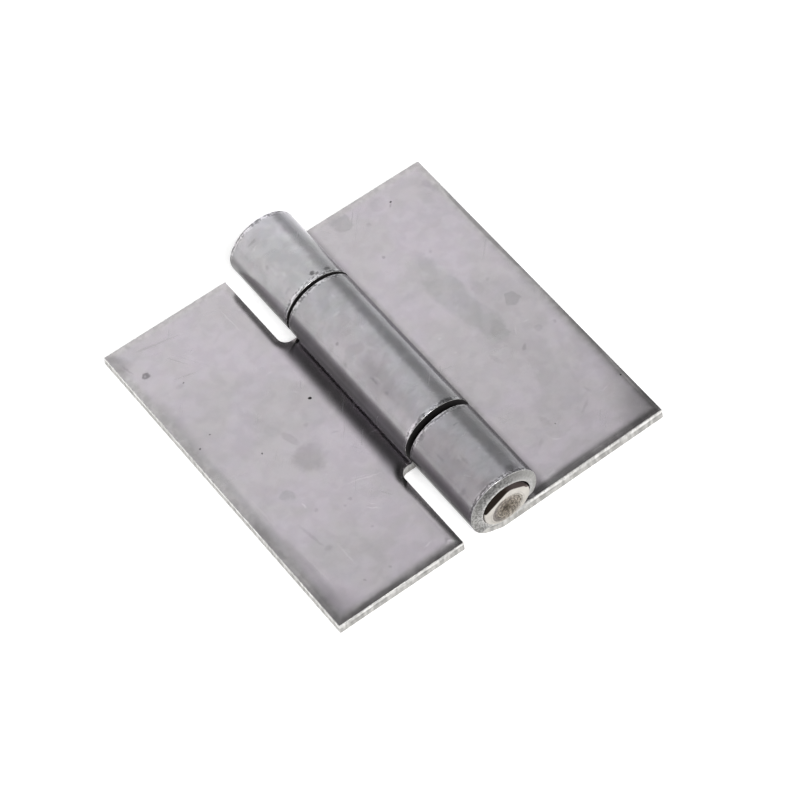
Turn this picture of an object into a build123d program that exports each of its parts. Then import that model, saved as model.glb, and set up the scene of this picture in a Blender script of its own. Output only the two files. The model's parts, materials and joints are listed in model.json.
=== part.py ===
from build123d import *
import math
import os

# A rolled-knuckle butt hinge of plain steel sheet, undrilled, for welding on.
# It lies open and flat, with both leaves' backs on the plane z = 0.
# The pin runs along Y. The leaf with two knuckles is on +X, the leaf with one knuckle on -X.
# Lengths are in millimetres. The origin is on the plane of the backs, under the middle of the pin.

# Driving dimensions
LEAF_LENGTH = 60.0            # both leaves, along the pin
OPEN_WIDTH = 60.0             # over both leaves, across the pin
SHEET = 2.0                   # thickness of the sheet that the leaves are cut from
PIN_DIAMETER = 8.0
RUNNING_CLEARANCE = 0.05      # between the pin and the middle knuckle, on the radius
OUTER_KNUCKLE_LENGTH = 14.65
FAR_GAP = 0.55                # from the middle knuckle to the outer one on +Y
NEAR_GAP = 1.1                # from the middle knuckle to the outer one on -Y
NOTCH_EDGE = 7.35             # from the pin's axis to the edge that clears the other leaf's knuckle
NOTCH_CORNER_RADIUS = 1.5
SEAM_GAP = 1.0                # from the roll's cut end down to the leaf that it was rolled from
RELAXED_CENTRE_DROP = 0.55    # the last third of the roll is struck from this far under the axis
ROLL_END_RADIUS = 0.6         # outer corner of the roll's cut end
ROLLED_OVER_BEVEL = 0.25      # edges that the shears press down: the leaves' tops and the bores
BACK_EDGE_BEVEL = 0.12        # edges on the other side: the leaves' backs and the barrel's outside
PIN_STAND_OUT = 0.8           # how far the pin shows at each end of the barrel
PIN_CHAMFER = 0.3
PIN_DISH_RADIUS = 2.6         # shallow hollow in each end of the pin
PIN_DISH_DEPTH = 0.2

# Sizes that follow from them
HALF_LENGTH = LEAF_LENGTH / 2
HALF_WIDTH = OPEN_WIDTH / 2
PIN_RADIUS = PIN_DIAMETER / 2
BORE_RADIUS = PIN_RADIUS + RUNNING_CLEARANCE
BARREL_RADIUS = BORE_RADIUS + SHEET
AXIS_HEIGHT = BARREL_RADIUS
PIN_HALF_LENGTH = HALF_LENGTH + PIN_STAND_OUT
OUTER_KNUCKLE_START = HALF_LENGTH - OUTER_KNUCKLE_LENGTH
OUTER_KNUCKLES = [(-HALF_LENGTH, -OUTER_KNUCKLE_START), (OUTER_KNUCKLE_START, HALF_LENGTH)]
MIDDLE_KNUCKLE = [(NEAR_GAP - OUTER_KNUCKLE_START, OUTER_KNUCKLE_START - FAR_GAP)]

# Two places nearer than this are the same place
SAME_PLACE = 1e-6


def roll_section(bore_top):
    """The rolled sheet across the pin, for a leaf on +X, with the pin's axis at (0, 0).

    The sheet comes in under the pin, turns up its far side, goes over it and comes down to a
    level cut just above its own leaf. Past the top the roll relaxes and stands off the pin.
    bore_top is the bore's height above the axis: the pin's own radius where the knuckle nips it.
    """
    cut_level = SHEET + SEAM_GAP - AXIS_HEIGHT
    snug_radius = (bore_top + BORE_RADIUS) / 2
    relaxed_radius = bore_top + RELAXED_CENTRE_DROP
    outer_turn = math.degrees(math.asin(cut_level / BARREL_RADIUS))
    relaxed_turn = math.degrees(math.asin((cut_level + RELAXED_CENTRE_DROP) / relaxed_radius))
    outer = CenterArc((0, 0), BARREL_RADIUS, outer_turn, 270 - outer_turn)
    snug = CenterArc((0, bore_top - snug_radius), snug_radius, 90, 180)
    relaxed = CenterArc((0, -RELAXED_CENTRE_DROP), relaxed_radius, relaxed_turn, 90 - relaxed_turn)
    root = Line(outer @ 1, snug @ 1)
    cut = Line(relaxed @ 0, outer @ 0)
    section = make_face([outer, root, snug, relaxed, cut])
    outer_corner = section.vertices().sort_by_distance(outer @ 0)[0]
    return fillet(outer_corner, ROLL_END_RADIUS)


def knuckle(y_from, y_to, bore_top):
    """One knuckle of the barrel, between two places along the pin."""
    start = Plane(origin=(0, y_to, AXIS_HEIGHT), x_dir=(1, 0, 0), z_dir=(0, -1, 0))
    return extrude(start * roll_section(bore_top), amount=y_to - y_from)


def flat_sheet(tabs):
    """The flat of a leaf on +X: a plate whose tabs reach in to the pin, with rounded notch corners."""
    plate_middle = (NOTCH_EDGE + HALF_WIDTH) / 2
    outline = Pos(plate_middle, 0) * Rectangle(HALF_WIDTH - NOTCH_EDGE, LEAF_LENGTH)
    for y_from, y_to in tabs:
        outline += Pos(NOTCH_EDGE / 2, (y_from + y_to) / 2) * Rectangle(NOTCH_EDGE, y_to - y_from)
    notch_corners = [
        corner for corner in outline.vertices()
        if abs(corner.X - NOTCH_EDGE) < SAME_PLACE and abs(corner.Y) < HALF_LENGTH - SAME_PLACE
    ]
    return extrude(fillet(notch_corners, NOTCH_CORNER_RADIUS), amount=SHEET)


def edges_at_height(solid, height):
    """Edges of the flat sheet that lie all along at one height, apart from where a roll begins."""
    found = []
    for edge in solid.edges():
        span = edge.bounding_box()
        level = abs(span.min.Z - height) < SAME_PLACE and abs(span.max.Z - height) < SAME_PLACE
        if level and edge.center().X > SAME_PLACE:
            found.append(edge)
    return found


def rims(solid, bore_side):
    """Round edges on the knuckles' end faces: those of the bore, or those of the barrel's outside."""
    found = []
    for edge in solid.edges().filter_by(GeomType.CIRCLE):
        span = edge.bounding_box()
        across_pin = span.max.Y - span.min.Y < SAME_PLACE
        around_pin = PIN_RADIUS - SAME_PLACE < edge.radius < BARREL_RADIUS - SHEET / 2
        if across_pin and around_pin == bore_side:
            found.append(edge)
    return found


def rolled_leaf(tabs, bore_top):
    """A whole leaf on +X: one sheet, its knuckles rolled from its tabs, its sheared edges eased."""
    leaf = flat_sheet(tabs)
    for y_from, y_to in tabs:
        leaf += knuckle(y_from, y_to, bore_top)
    leaf = chamfer(edges_at_height(leaf, SHEET) + rims(leaf, True), ROLLED_OVER_BEVEL)
    return chamfer(edges_at_height(leaf, 0) + rims(leaf, False), BACK_EDGE_BEVEL)


def hinge_pin():
    """The round pin, chamfered, with a shallow hollow in each end."""
    dish_sphere = (PIN_DISH_RADIUS ** 2 + PIN_DISH_DEPTH ** 2) / (2 * PIN_DISH_DEPTH)
    dish_turn = math.degrees(math.asin(PIN_DISH_RADIUS / dish_sphere))
    dish_centre = PIN_HALF_LENGTH - PIN_DISH_DEPTH + dish_sphere
    dish = CenterArc((0, dish_centre), dish_sphere, 270, dish_turn)
    rim = Line(dish @ 1, (PIN_RADIUS - PIN_CHAMFER, PIN_HALF_LENGTH))
    chamfer_edge = Line(rim @ 1, (PIN_RADIUS, PIN_HALF_LENGTH - PIN_CHAMFER))
    side = Line(chamfer_edge @ 1, (PIN_RADIUS, 0))
    middle = Line(side @ 1, (0, 0))
    core = Line(middle @ 1, dish @ 0)
    half_pin = revolve(make_face([dish, rim, chamfer_edge, side, middle, core]), Axis.Y, 360)
    return Pos(0, 0, AXIS_HEIGHT) * (half_pin + mirror(half_pin, Plane.XZ))


parts = {
    "two_knuckle_leaf": rolled_leaf(OUTER_KNUCKLES, PIN_RADIUS),
    "single_knuckle_leaf": mirror(rolled_leaf(MIDDLE_KNUCKLE, BORE_RADIUS), Plane.YZ),
    "hinge_pin": hinge_pin(),
}

os.makedirs("parts", exist_ok=True)
for name, solid in parts.items():
    export_step(solid, f"parts/{name}.step")
    size = solid.bounding_box().size
    print(f"{name}: {size.X:.2f} x {size.Y:.2f} x {size.Z:.2f} mm, {solid.volume:.1f} mm3")
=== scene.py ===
# %% [markdown]
# # A rolled-knuckle butt hinge in mill-finish steel
# The hinge lies open and flat on a white table. It has three pieces: two leaves, each cut from
# one steel sheet with its knuckles rolled from its own tabs, and the pin that joins them.
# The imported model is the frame: it says where each piece is and how the leaves turn. This lesson
# makes the same pieces again with the edges, marks and finishes that a camera sees.

import json
import math

import bmesh
import bpy
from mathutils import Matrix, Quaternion, Vector


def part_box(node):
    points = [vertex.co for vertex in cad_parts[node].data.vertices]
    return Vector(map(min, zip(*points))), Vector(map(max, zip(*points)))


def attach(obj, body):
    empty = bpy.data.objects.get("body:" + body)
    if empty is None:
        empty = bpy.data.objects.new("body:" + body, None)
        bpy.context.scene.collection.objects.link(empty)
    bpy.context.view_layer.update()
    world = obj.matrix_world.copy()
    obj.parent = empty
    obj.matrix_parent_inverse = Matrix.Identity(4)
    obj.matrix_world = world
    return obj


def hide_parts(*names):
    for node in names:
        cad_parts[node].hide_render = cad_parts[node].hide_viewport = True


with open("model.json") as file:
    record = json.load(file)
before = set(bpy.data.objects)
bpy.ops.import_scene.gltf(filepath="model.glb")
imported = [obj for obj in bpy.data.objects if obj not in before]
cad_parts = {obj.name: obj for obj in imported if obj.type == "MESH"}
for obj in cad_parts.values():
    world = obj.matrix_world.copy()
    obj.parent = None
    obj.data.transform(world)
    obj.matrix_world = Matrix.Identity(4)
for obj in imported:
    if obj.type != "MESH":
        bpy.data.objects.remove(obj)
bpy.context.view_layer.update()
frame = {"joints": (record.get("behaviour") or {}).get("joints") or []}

# %% [markdown]
# ## Sizes
# Nothing is measured twice. The leaf's outline, the barrel and the pin come from the frame's boxes,
# and the pin's axis comes from the joint. The few sizes that a box can't give, such as where the
# knuckles end, are named here in millimetres and turned into metres.

# %% Sizes from the frame, and the few beside them
MM = 0.001
TINY = 1e-7

leaf_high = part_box("two_knuckle_leaf")[1]
pin_low, pin_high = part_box("hinge_pin")
HALF_LENGTH = leaf_high.y
HALF_WIDTH = leaf_high.x
AXIS_HEIGHT = frame["joints"][0]["pos_m"][2]
BARREL_RADIUS = AXIS_HEIGHT
PIN_RADIUS = (pin_high.z - pin_low.z) / 2
PIN_HALF_LENGTH = pin_high.y

SHEET = 2.0 * MM
NOTCH_EDGE = 7.35 * MM
NOTCH_CORNER_RADIUS = 1.5 * MM
OUTER_KNUCKLE_START = HALF_LENGTH - 14.65 * MM
FAR_GAP = 0.55 * MM
NEAR_GAP = 1.1 * MM
OUTER_TABS = [(-HALF_LENGTH, -OUTER_KNUCKLE_START), (OUTER_KNUCKLE_START, HALF_LENGTH)]
MIDDLE_TAB = [(NEAR_GAP - OUTER_KNUCKLE_START, OUTER_KNUCKLE_START - FAR_GAP)]
print(f"barrel radius {BARREL_RADIUS / MM:.2f} mm, pin radius {PIN_RADIUS / MM:.2f} mm")

# %% [markdown]
# ## The camera
# A photographer stood at one corner of the hinge and looked well down on it through a long lens,
# so parallel edges stay nearly parallel. The place is given the way a person would say it: how far
# round, how high, how far away, and a slight tilt of the camera in the hand.

# %% Camera
CAMERA_AIM = Vector((1.14, -3.19, 0)) * MM
CAMERA_ROUND = math.radians(-34.24)
CAMERA_HEIGHT = math.radians(56.33)
CAMERA_TILT = math.radians(-3.63)
CAMERA_DISTANCE = 506.8 * MM
LENS_MM = 151.5
SENSOR_MM = 36


def add_camera():
    """The photographer's camera, pointed at the hinge."""
    camera = bpy.data.objects.new("camera", bpy.data.cameras.new("camera"))
    bpy.context.scene.collection.objects.link(camera)
    back = Vector((
        math.sin(CAMERA_ROUND) * math.cos(CAMERA_HEIGHT),
        -math.cos(CAMERA_ROUND) * math.cos(CAMERA_HEIGHT),
        math.sin(CAMERA_HEIGHT),
    ))
    camera.location = CAMERA_AIM + back * CAMERA_DISTANCE
    level = back.to_track_quat("Z", "Y")
    camera.rotation_mode = "QUATERNION"
    camera.rotation_quaternion = level @ Quaternion((0, 0, 1), CAMERA_TILT)
    camera.data.lens = LENS_MM
    camera.data.sensor_width = SENSOR_MM
    camera.data.clip_start = 10 * MM
    bpy.context.scene.camera = camera
    return camera


camera = add_camera()
bpy.context.scene.view_settings.view_transform = "Standard"
print("camera at", [round(c / MM) for c in camera.location], "mm")

# %% [markdown]
# ## Helpers for node materials
# Every finish below is a small network of shader nodes. A few helpers keep the networks short to
# read. They add a node and fill in its sockets, do one step of arithmetic, fade a value in smoothly
# between two limits, mix two colours, split a place into x, y and z, and make noise. A socket is
# filled with a number, a colour or another node's output.

# %% Node helpers


def add_node(tree, kind, settings=None, **inputs):
    """Adds a node. Inputs are given by socket name, with _ for a space."""
    node = tree.nodes.new(kind)
    for name, value in (settings or {}).items():
        setattr(node, name, value)
    for name, value in inputs.items():
        fill(tree, node.inputs[name.replace("_", " ")], value)
    return node


def fill(tree, socket, value):
    """Joins a socket to another node's output, or sets it to a plain value."""
    if isinstance(value, bpy.types.NodeSocket):
        tree.links.new(value, socket)
    else:
        socket.default_value = value


def calc(tree, operation, a, b=0.0, clamp=False):
    """One step of arithmetic. Returns the output socket."""
    node = add_node(tree, "ShaderNodeMath", {"operation": operation, "use_clamp": clamp})
    fill(tree, node.inputs[0], a)
    fill(tree, node.inputs[1], b)
    return node.outputs[0]


def fade(tree, value, start, end, low=0.0, high=1.0):
    """Rises smoothly from low to high as value goes from start to end. End may be under start."""
    if start > end:
        start, end, low, high = end, start, high, low
    node = add_node(
        tree, "ShaderNodeMapRange", {"interpolation_type": "SMOOTHSTEP"},
        Value=value, From_Min=start, From_Max=end, To_Min=low, To_Max=high,
    )
    return node.outputs["Result"]


def blend(tree, amount, a, b):
    """Mixes colour a towards colour b. Returns the output socket."""
    node = add_node(tree, "ShaderNodeMix", {"data_type": "RGBA"})
    fill(tree, node.inputs[0], amount)
    fill(tree, node.inputs[6], a)
    fill(tree, node.inputs[7], b)
    return node.outputs[2]


def separate(tree, vector):
    """The three parts of a vector, as sockets."""
    return add_node(tree, "ShaderNodeSeparateXYZ", Vector=vector).outputs


def noise(tree, place, scale, detail=2.0, distortion=0.0):
    """Noise from 0 to 1, with its middle at a half. Scale is in lumps per metre."""
    return add_node(
        tree, "ShaderNodeTexNoise", Vector=place, Scale=scale, Detail=detail, Distortion=distortion
    ).outputs


helpers = [add_node, fill, calc, fade, blend, separate, noise]
print("helpers", [helper.__name__ for helper in helpers])

# %% [markdown]
# ## The studio
# Bare steel shows what is round it more than its own colour, so the studio comes before the
# finishes. A wide white backdrop lights the far side. It ends overhead, where the photographer
# leans in, which darkens the rolled-over near edges and shades the leaves from far to near. A
# darker wall stands to the right, and puts the dark stripe along the barrel. The sky round the
# scene carries these as soft fades, so no card gets in the way from other sides.

# %% Sky round the scene
DARK_OVERHEAD = 0.28
BACKDROP_ENDS = 0.26
BACKDROP_FULL = 0.5
OVERHEAD_FROM = 0.3
OVERHEAD_TO = 0.7
DARK_WALL = 0.38
WALL_TURN = math.radians(36.5)
WALL_FROM = -0.05
WALL_TO = 0.05
HORIZON_FROM = -0.2
HORIZON_TO = 0.2


def sky_strength(tree):
    """How bright the sky is each way: darker overhead and beyond a vertical line on the right."""
    direction = add_node(tree, "ShaderNodeTexCoord").outputs["Generated"]
    toward_x, toward_y, up = separate(tree, direction)
    overhead = calc(
        tree, "MULTIPLY",
        fade(tree, toward_y, BACKDROP_FULL, BACKDROP_ENDS),
        fade(tree, up, OVERHEAD_FROM, OVERHEAD_TO),
    )
    past_line = calc(
        tree, "SUBTRACT",
        calc(tree, "MULTIPLY", toward_x, math.sin(WALL_TURN)),
        calc(tree, "MULTIPLY", calc(tree, "ABSOLUTE", toward_y), math.cos(WALL_TURN)),
    )
    wall = calc(
        tree, "MULTIPLY",
        fade(tree, past_line, WALL_FROM, WALL_TO),
        fade(tree, up, HORIZON_FROM, HORIZON_TO),
    )
    return calc(
        tree, "MULTIPLY",
        fade(tree, overhead, 0.0, 1.0, 1.0, DARK_OVERHEAD),
        fade(tree, wall, 0.0, 1.0, 1.0, DARK_WALL),
    )


def light_the_studio():
    """Lights the scene with a white sky."""
    world = bpy.data.worlds.new("studio")
    bpy.context.scene.world = world
    world.use_nodes = True
    tree = world.node_tree
    tree.nodes.clear()
    background = add_node(
        tree, "ShaderNodeBackground", Color=(1, 1, 1, 1), Strength=sky_strength(tree)
    )
    output = add_node(tree, "ShaderNodeOutputWorld")
    tree.links.new(background.outputs[0], output.inputs["Surface"])


light_the_studio()
print("studio lit")

# %% [markdown]
# ## The table
# The table is a white sheet. Its own colour can't quite reach white, so it glows a little where the
# camera looks at it, and less where the steel mirrors it. The hinge's soft shadow still shows on it.

# %% Table and lamp
TABLE_HALF_WIDTH = 3.0
TABLE_DROP = 0.05 * MM
TABLE_GLOW = 0.48
MIRRORED_GLOW = 0.12
LAMP_PLACE = Vector((-0.1, -0.6, 0.8))
LAMP_WIDTH = 0.4
LAMP_WATTS = 6.0


def white_table_material():
    """White paint that keeps shadows and glows a little where it is looked at."""
    material = bpy.data.materials.new("white_table")
    material.use_nodes = True
    tree = material.node_tree
    paint = tree.nodes["Principled BSDF"]
    fill(tree, paint.inputs["Base Color"], (0.9, 0.9, 0.9, 1))
    fill(tree, paint.inputs["Roughness"], 1.0)
    fill(tree, paint.inputs["Specular IOR Level"], 0.0)
    fill(tree, paint.inputs["Emission Color"], (1, 1, 1, 1))
    seen = add_node(tree, "ShaderNodeLightPath").outputs
    looked_at = calc(tree, "MULTIPLY", seen["Is Camera Ray"], TABLE_GLOW)
    mirrored = calc(tree, "ADD", seen["Is Glossy Ray"], seen["Is Transmission Ray"], clamp=True)
    mirrored = calc(tree, "MULTIPLY", mirrored, MIRRORED_GLOW)
    fill(tree, paint.inputs["Emission Strength"], calc(tree, "ADD", looked_at, mirrored))
    return material


def add_table():
    """A large flat sheet just under the leaves' backs."""
    bm = bmesh.new()
    bmesh.ops.create_grid(bm, x_segments=1, y_segments=1, size=TABLE_HALF_WIDTH)
    bmesh.ops.translate(bm, vec=(0, 0, -TABLE_DROP), verts=bm.verts)
    mesh = bpy.data.meshes.new("table")
    bm.to_mesh(mesh)
    bm.free()
    table = bpy.data.objects.new("table", mesh)
    bpy.context.scene.collection.objects.link(table)
    mesh.materials.append(white_table_material())
    return table


def add_lamp():
    """One soft lamp beside the photographer, where the flat steel doesn't mirror it."""
    lamp = bpy.data.objects.new("soft_lamp", bpy.data.lights.new("soft_lamp", "AREA"))
    bpy.context.scene.collection.objects.link(lamp)
    lamp.location = LAMP_PLACE
    lamp.rotation_mode = "QUATERNION"
    lamp.rotation_quaternion = LAMP_PLACE.to_track_quat("Z", "Y")
    lamp.data.size = LAMP_WIDTH
    lamp.data.energy = LAMP_WATTS
    return lamp


table = add_table()
lamp = add_lamp()
print("table", table.name, "lamp", lamp.name)

# %% [markdown]
# ## A leaf, step 1: the flat blank
# A leaf starts as a flat blank: a plate with tabs that reach in as far as the pin. A grid face is
# split where the tabs begin and end, the tabs are pulled out from it, and the whole is dissolved
# back to one face. The corners at the foot of each tab are rounded by bevelling their points only,
# the way the punch leaves them.

# %% Blank
NOTCH_CORNER_STEPS = 8
STRAIGHT = math.radians(1)


def along_edge(edge, x, y_from=-HALF_LENGTH, y_to=HALF_LENGTH):
    """Whether an edge lies along one x, between two places along the pin."""
    return all(
        abs(v.co.x - x) < TINY and y_from - TINY < v.co.y < y_to + TINY for v in edge.verts
    )


def flat_blank(tabs):
    """One flat face with the blank's outline, for a leaf on +X. Its tabs end at x = 0."""
    bm = bmesh.new()
    bmesh.ops.create_grid(bm, x_segments=1, y_segments=1, size=0.5)
    bmesh.ops.scale(bm, vec=(HALF_WIDTH - NOTCH_EDGE, 2 * HALF_LENGTH, 1), verts=bm.verts)
    bmesh.ops.translate(bm, vec=((HALF_WIDTH + NOTCH_EDGE) / 2, 0, 0), verts=bm.verts)
    notch_ends = [y for tab in tabs for y in tab if abs(y) < HALF_LENGTH - TINY]
    for y in notch_ends:
        everything = bm.verts[:] + bm.edges[:] + bm.faces[:]
        bmesh.ops.bisect_plane(bm, geom=everything, plane_co=(0, y, 0), plane_no=(0, 1, 0))
    for y_from, y_to in tabs:
        foot = [e for e in bm.edges if along_edge(e, NOTCH_EDGE, y_from, y_to)]
        pulled = bmesh.ops.extrude_edge_only(bm, edges=foot)["geom"]
        pulled_points = [v for v in pulled if isinstance(v, bmesh.types.BMVert)]
        bmesh.ops.translate(bm, vec=(-NOTCH_EDGE, 0, 0), verts=pulled_points)
    inner = [e for e in bm.edges if not e.is_boundary]
    bmesh.ops.dissolve_edges(bm, edges=inner, use_verts=False, use_face_split=False)
    straight = [v for v in bm.verts if v.calc_edge_angle(0) < STRAIGHT]
    bmesh.ops.dissolve_verts(bm, verts=straight)
    corners = [
        v for v in bm.verts
        if abs(v.co.x - NOTCH_EDGE) < TINY and abs(v.co.y) < HALF_LENGTH - TINY
    ]
    bmesh.ops.bevel(
        bm, geom=corners, offset=NOTCH_CORNER_RADIUS, offset_type="OFFSET", affect="VERTICES",
        segments=NOTCH_CORNER_STEPS, profile=0.5, material=-1,
    )
    return bm


blank = flat_blank(OUTER_TABS)
print("blank", len(blank.verts), "points", len(blank.faces), "face")
blank.free()

# %% [markdown]
# ## A leaf, step 2: thickness and sheared edges
# Shears press the top of a sheet down before they cut it, so the top falls away in a wide, shallow
# curve towards each cut edge. That curve is what darkens the leaves' near and right-hand borders.
# The back keeps a small sharp burr. Each face is stepped inwards with a chain of insets: every step
# has a width and a rise, worked out from the curve. Each point also keeps two notes for the
# finishes, how far it is from the cut and how deep in the sheet. The tabs' ends stay open for now.

# %% Thickness and edges
ROLLOVER_WIDTH = 1.9 * MM
ROLLOVER_DROP = 0.2 * MM
ROLLOVER_STEPS = 8
CUT_CORNER = 0.1 * MM
BACK_CORNER = 0.12 * MM
CORNER_STEPS = 3


def corner_steps(radius):
    """Steps in over a small round corner: a quarter turn from upright to level."""
    turns = [math.radians(90) * i / CORNER_STEPS for i in range(CORNER_STEPS + 1)]
    return [
        (radius * (math.cos(a) - math.cos(b)), radius * (math.sin(b) - math.sin(a)))
        for a, b in zip(turns, turns[1:])
    ]


def rollover_steps():
    """Steps in over the pressed-down top: a cubic curve, steepest beside the cut."""
    places = [i / ROLLOVER_STEPS for i in range(ROLLOVER_STEPS + 1)]
    return [
        (ROLLOVER_WIDTH * (b - a), ROLLOVER_DROP * ((1 - a) ** 3 - (1 - b) ** 3))
        for a, b in zip(places, places[1:])
    ]


def step_in(bm, face, steps):
    """Insets a face again and again by a width and a rise, and notes how far in each point is."""
    from_edge = bm.verts.layers.float["from_edge"]
    travelled = 0
    for width, rise in steps:
        bmesh.ops.inset_region(
            bm, faces=[face], thickness=width, depth=rise,
            use_boundary=False, use_even_offset=True,
        )
        travelled += width
        for v in face.verts:
            v[from_edge] = travelled


def sheared_sheet(bm):
    """Thickens the blank and gives it its sheared edges. Its tabs' ends at x = 0 stay open."""
    bm.verts.layers.float.new("from_edge")
    through_sheet = bm.verts.layers.float.new("through_sheet")
    back = next(iter(bm.faces))
    lifted = bmesh.ops.extrude_face_region(bm, geom=[back])["geom"]
    top = next(f for f in lifted if isinstance(f, bmesh.types.BMFace))
    bmesh.ops.translate(bm, vec=(0, 0, SHEET - ROLLOVER_DROP - CUT_CORNER), verts=top.verts)
    bmesh.ops.translate(bm, vec=(0, 0, BACK_CORNER), verts=back.verts)
    bmesh.ops.recalc_face_normals(bm, faces=bm.faces)
    ends = [f for f in bm.faces if all(abs(v.co.x) < TINY for v in f.verts)]
    bmesh.ops.delete(bm, geom=ends, context="FACES_ONLY")
    step_in(bm, top, corner_steps(CUT_CORNER) + rollover_steps())
    step_in(bm, back, corner_steps(BACK_CORNER) + [(ROLLOVER_WIDTH, 0)])
    for v in bm.verts:
        v[through_sheet] = v.co.z / SHEET


print(f"pressed-down edge {ROLLOVER_WIDTH / MM:.1f} mm wide and {ROLLOVER_DROP / MM:.1f} mm deep")

# %% [markdown]
# ## A leaf, step 3: rolling the knuckles
# The open end of each tab is spun about the pin's axis, round under the pin, up its far side and
# over it, just as the press rolls the real tab. The steps are finer near the tip, which is shaped
# next. The mandrel irons the pressed-down edge flat again inside the bore, over the first eighth of
# a turn.

# %% Knuckles
BODY_TURN = math.radians(282)
BODY_STEPS = 94
TIP_TURN = math.radians(30)
TIP_STEPS = 24
IRONED_TURN = 45


def spin_tab(bm, y_from, y_to):
    """Rolls one tab from its open end, coarsely at first and finely near its tip."""
    ring = [e for e in bm.edges if e.is_boundary and along_edge(e, 0, y_from, y_to)]
    for turn, steps in ((BODY_TURN, BODY_STEPS), (TIP_TURN, TIP_STEPS)):
        points = list({v for e in ring for v in e.verts})
        spun = bmesh.ops.spin(
            bm, geom=points + ring, cent=(0, 0, AXIS_HEIGHT), axis=(0, 1, 0),
            angle=turn, steps=steps, use_merge=False,
        )
        ring = [e for e in spun["geom_last"] if isinstance(e, bmesh.types.BMEdge)]


def iron_bore(bm):
    """Takes the pressed-down edge out of each roll, over the first eighth of a turn."""
    from_edge = bm.verts.layers.float["from_edge"]
    for v in bm.verts:
        x, z = v.co.x, v.co.z - AXIS_HEIGHT
        radius = math.hypot(x, z)
        rolled = x < -TINY or v.co.z > SHEET + TINY
        if not rolled or radius > BARREL_RADIUS - SHEET / 2:
            continue
        ironed = min(math.degrees(math.atan2(-x, -z)) % 360 / IRONED_TURN, 1)
        left = 1 - min(max((v[from_edge] - CUT_CORNER) / ROLLOVER_WIDTH, 0), 1)
        closer = 1 - ironed * ROLLOVER_DROP * left ** 3 / radius
        v.co.x, v.co.z = x * closer, AXIS_HEIGHT + z * closer


print("each tab is rolled in", BODY_STEPS + TIP_STEPS, "steps")

# %% [markdown]
# ## A leaf, step 4: the roll's tip
# Past the top the real roll relaxes and stands off the pin, so the bore's side of the sheet is moved
# out there, which opens the crescent gap beside the pin. The roll ends in a level cut a millimetre
# above its own leaf. A bisecting plane makes the cut, once the outer corner is rounded.

# %% Tips of the rolls
SEAM_GAP = 1.0 * MM
RELAXED_DROP = 0.55 * MM
TIP_CORNER_RADIUS = 0.6 * MM
CUT_HEIGHT = SHEET + SEAM_GAP
CUT_TURN = math.radians(270) + math.asin((AXIS_HEIGHT - CUT_HEIGHT) / BARREL_RADIUS)


def bore_radius(up, bore_top):
    """How far the bore's wall is from the axis at an angle above level, past the top of the roll."""
    relaxed = bore_top + RELAXED_DROP
    across = RELAXED_DROP * math.cos(up)
    return math.sqrt(relaxed ** 2 - across ** 2) - RELAXED_DROP * math.sin(up)


def relax_roll(bm, bore_top):
    """Opens the last third of each roll off the pin, and rounds the outer corner of its tip."""
    for v in bm.verts:
        x, z = v.co.x, v.co.z - AXIS_HEIGHT
        if x < TINY or v.co.z < SHEET + TINY:
            continue
        radius, up = math.hypot(x, z), math.atan2(z, x)
        inner = (BARREL_RADIUS - radius) / SHEET
        to_tip = BARREL_RADIUS * (CUT_TURN - math.radians(270) + up)
        short = min(max(TIP_CORNER_RADIUS - to_tip, 0), TIP_CORNER_RADIUS)
        rounding = TIP_CORNER_RADIUS - math.sqrt(TIP_CORNER_RADIUS ** 2 - short ** 2)
        wall = BARREL_RADIUS - bore_radius(up, bore_top)
        radius = BARREL_RADIUS - rounding * (1 - inner) - wall * inner
        v.co.x, v.co.z = radius * math.cos(up), AXIS_HEIGHT + radius * math.sin(up)


def cut_tips(bm):
    """Cuts each roll off level, above its own leaf, and closes the cut."""
    tips = [
        f for f in bm.faces
        if f.calc_center_median().x > TINY and SHEET + TINY < f.calc_center_median().z < AXIS_HEIGHT
    ]
    pieces = set(tips) | {e for f in tips for e in f.edges} | {v for f in tips for v in f.verts}
    bmesh.ops.bisect_plane(
        bm, geom=list(pieces), plane_co=(0, 0, CUT_HEIGHT), plane_no=(0, 0, 1), clear_inner=True,
    )
    open_edges = [e for e in bm.edges if e.is_boundary]
    return bmesh.ops.edgeloop_fill(bm, edges=open_edges)["faces"]


print(f"each roll is cut {math.degrees(CUT_TURN):.0f} degrees round from its root")

# %% [markdown]
# ## A leaf, step 5: the near end
# Two small faults of the real hinge show at the end nearest the camera. The shears' cut slants, so
# the back of each leaf stands out past its top, and on the leaf with two knuckles it is also
# slightly askew. Rolling then spread the inside of the near knuckle and drew its outside in, so the
# barrel's end rises towards the bore like a shallow cone. The short list gives, for places round the
# roll in degrees from its root, how far the outside stands out there in millimetres.

# %% Near end
SINGLE_NEAR_END = (0, 0, 0.2 * MM)
DOUBLE_NEAR_END = (0.52 * MM, 0.25 * MM, 0.37 * MM)
BORE_OUT = 0.37 * MM
BORE_OUT_FROM = 50
OUTSIDE_OUT = [(0, 0.52), (20, 0.33), (50, 0.33), (130, -0.28), (155, -0.25), (185, -0.1), (300, 0)]
NEAR_ZONE = 2.05 * MM


def between(start, end, share):
    """A share of the way from one number to another, eased in and out."""
    share = min(max(share, 0), 1)
    return start + (end - start) * share * share * (3 - 2 * share)


def outside_out(turn):
    """How far the near end stands out at the outside of the roll, round the roll."""
    for (low, start), (high, end) in zip(OUTSIDE_OUT, OUTSIDE_OUT[1:]):
        if turn <= high:
            return between(start, end, (turn - low) / (high - low)) * MM
    return 0


def travelled_round(point):
    """How far round the roll a point is, in degrees from where the roll begins."""
    if point.x > -TINY and point.z < SHEET + TINY:
        return 0
    return math.degrees(math.atan2(-point.x, AXIS_HEIGHT - point.z)) % 360


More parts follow.
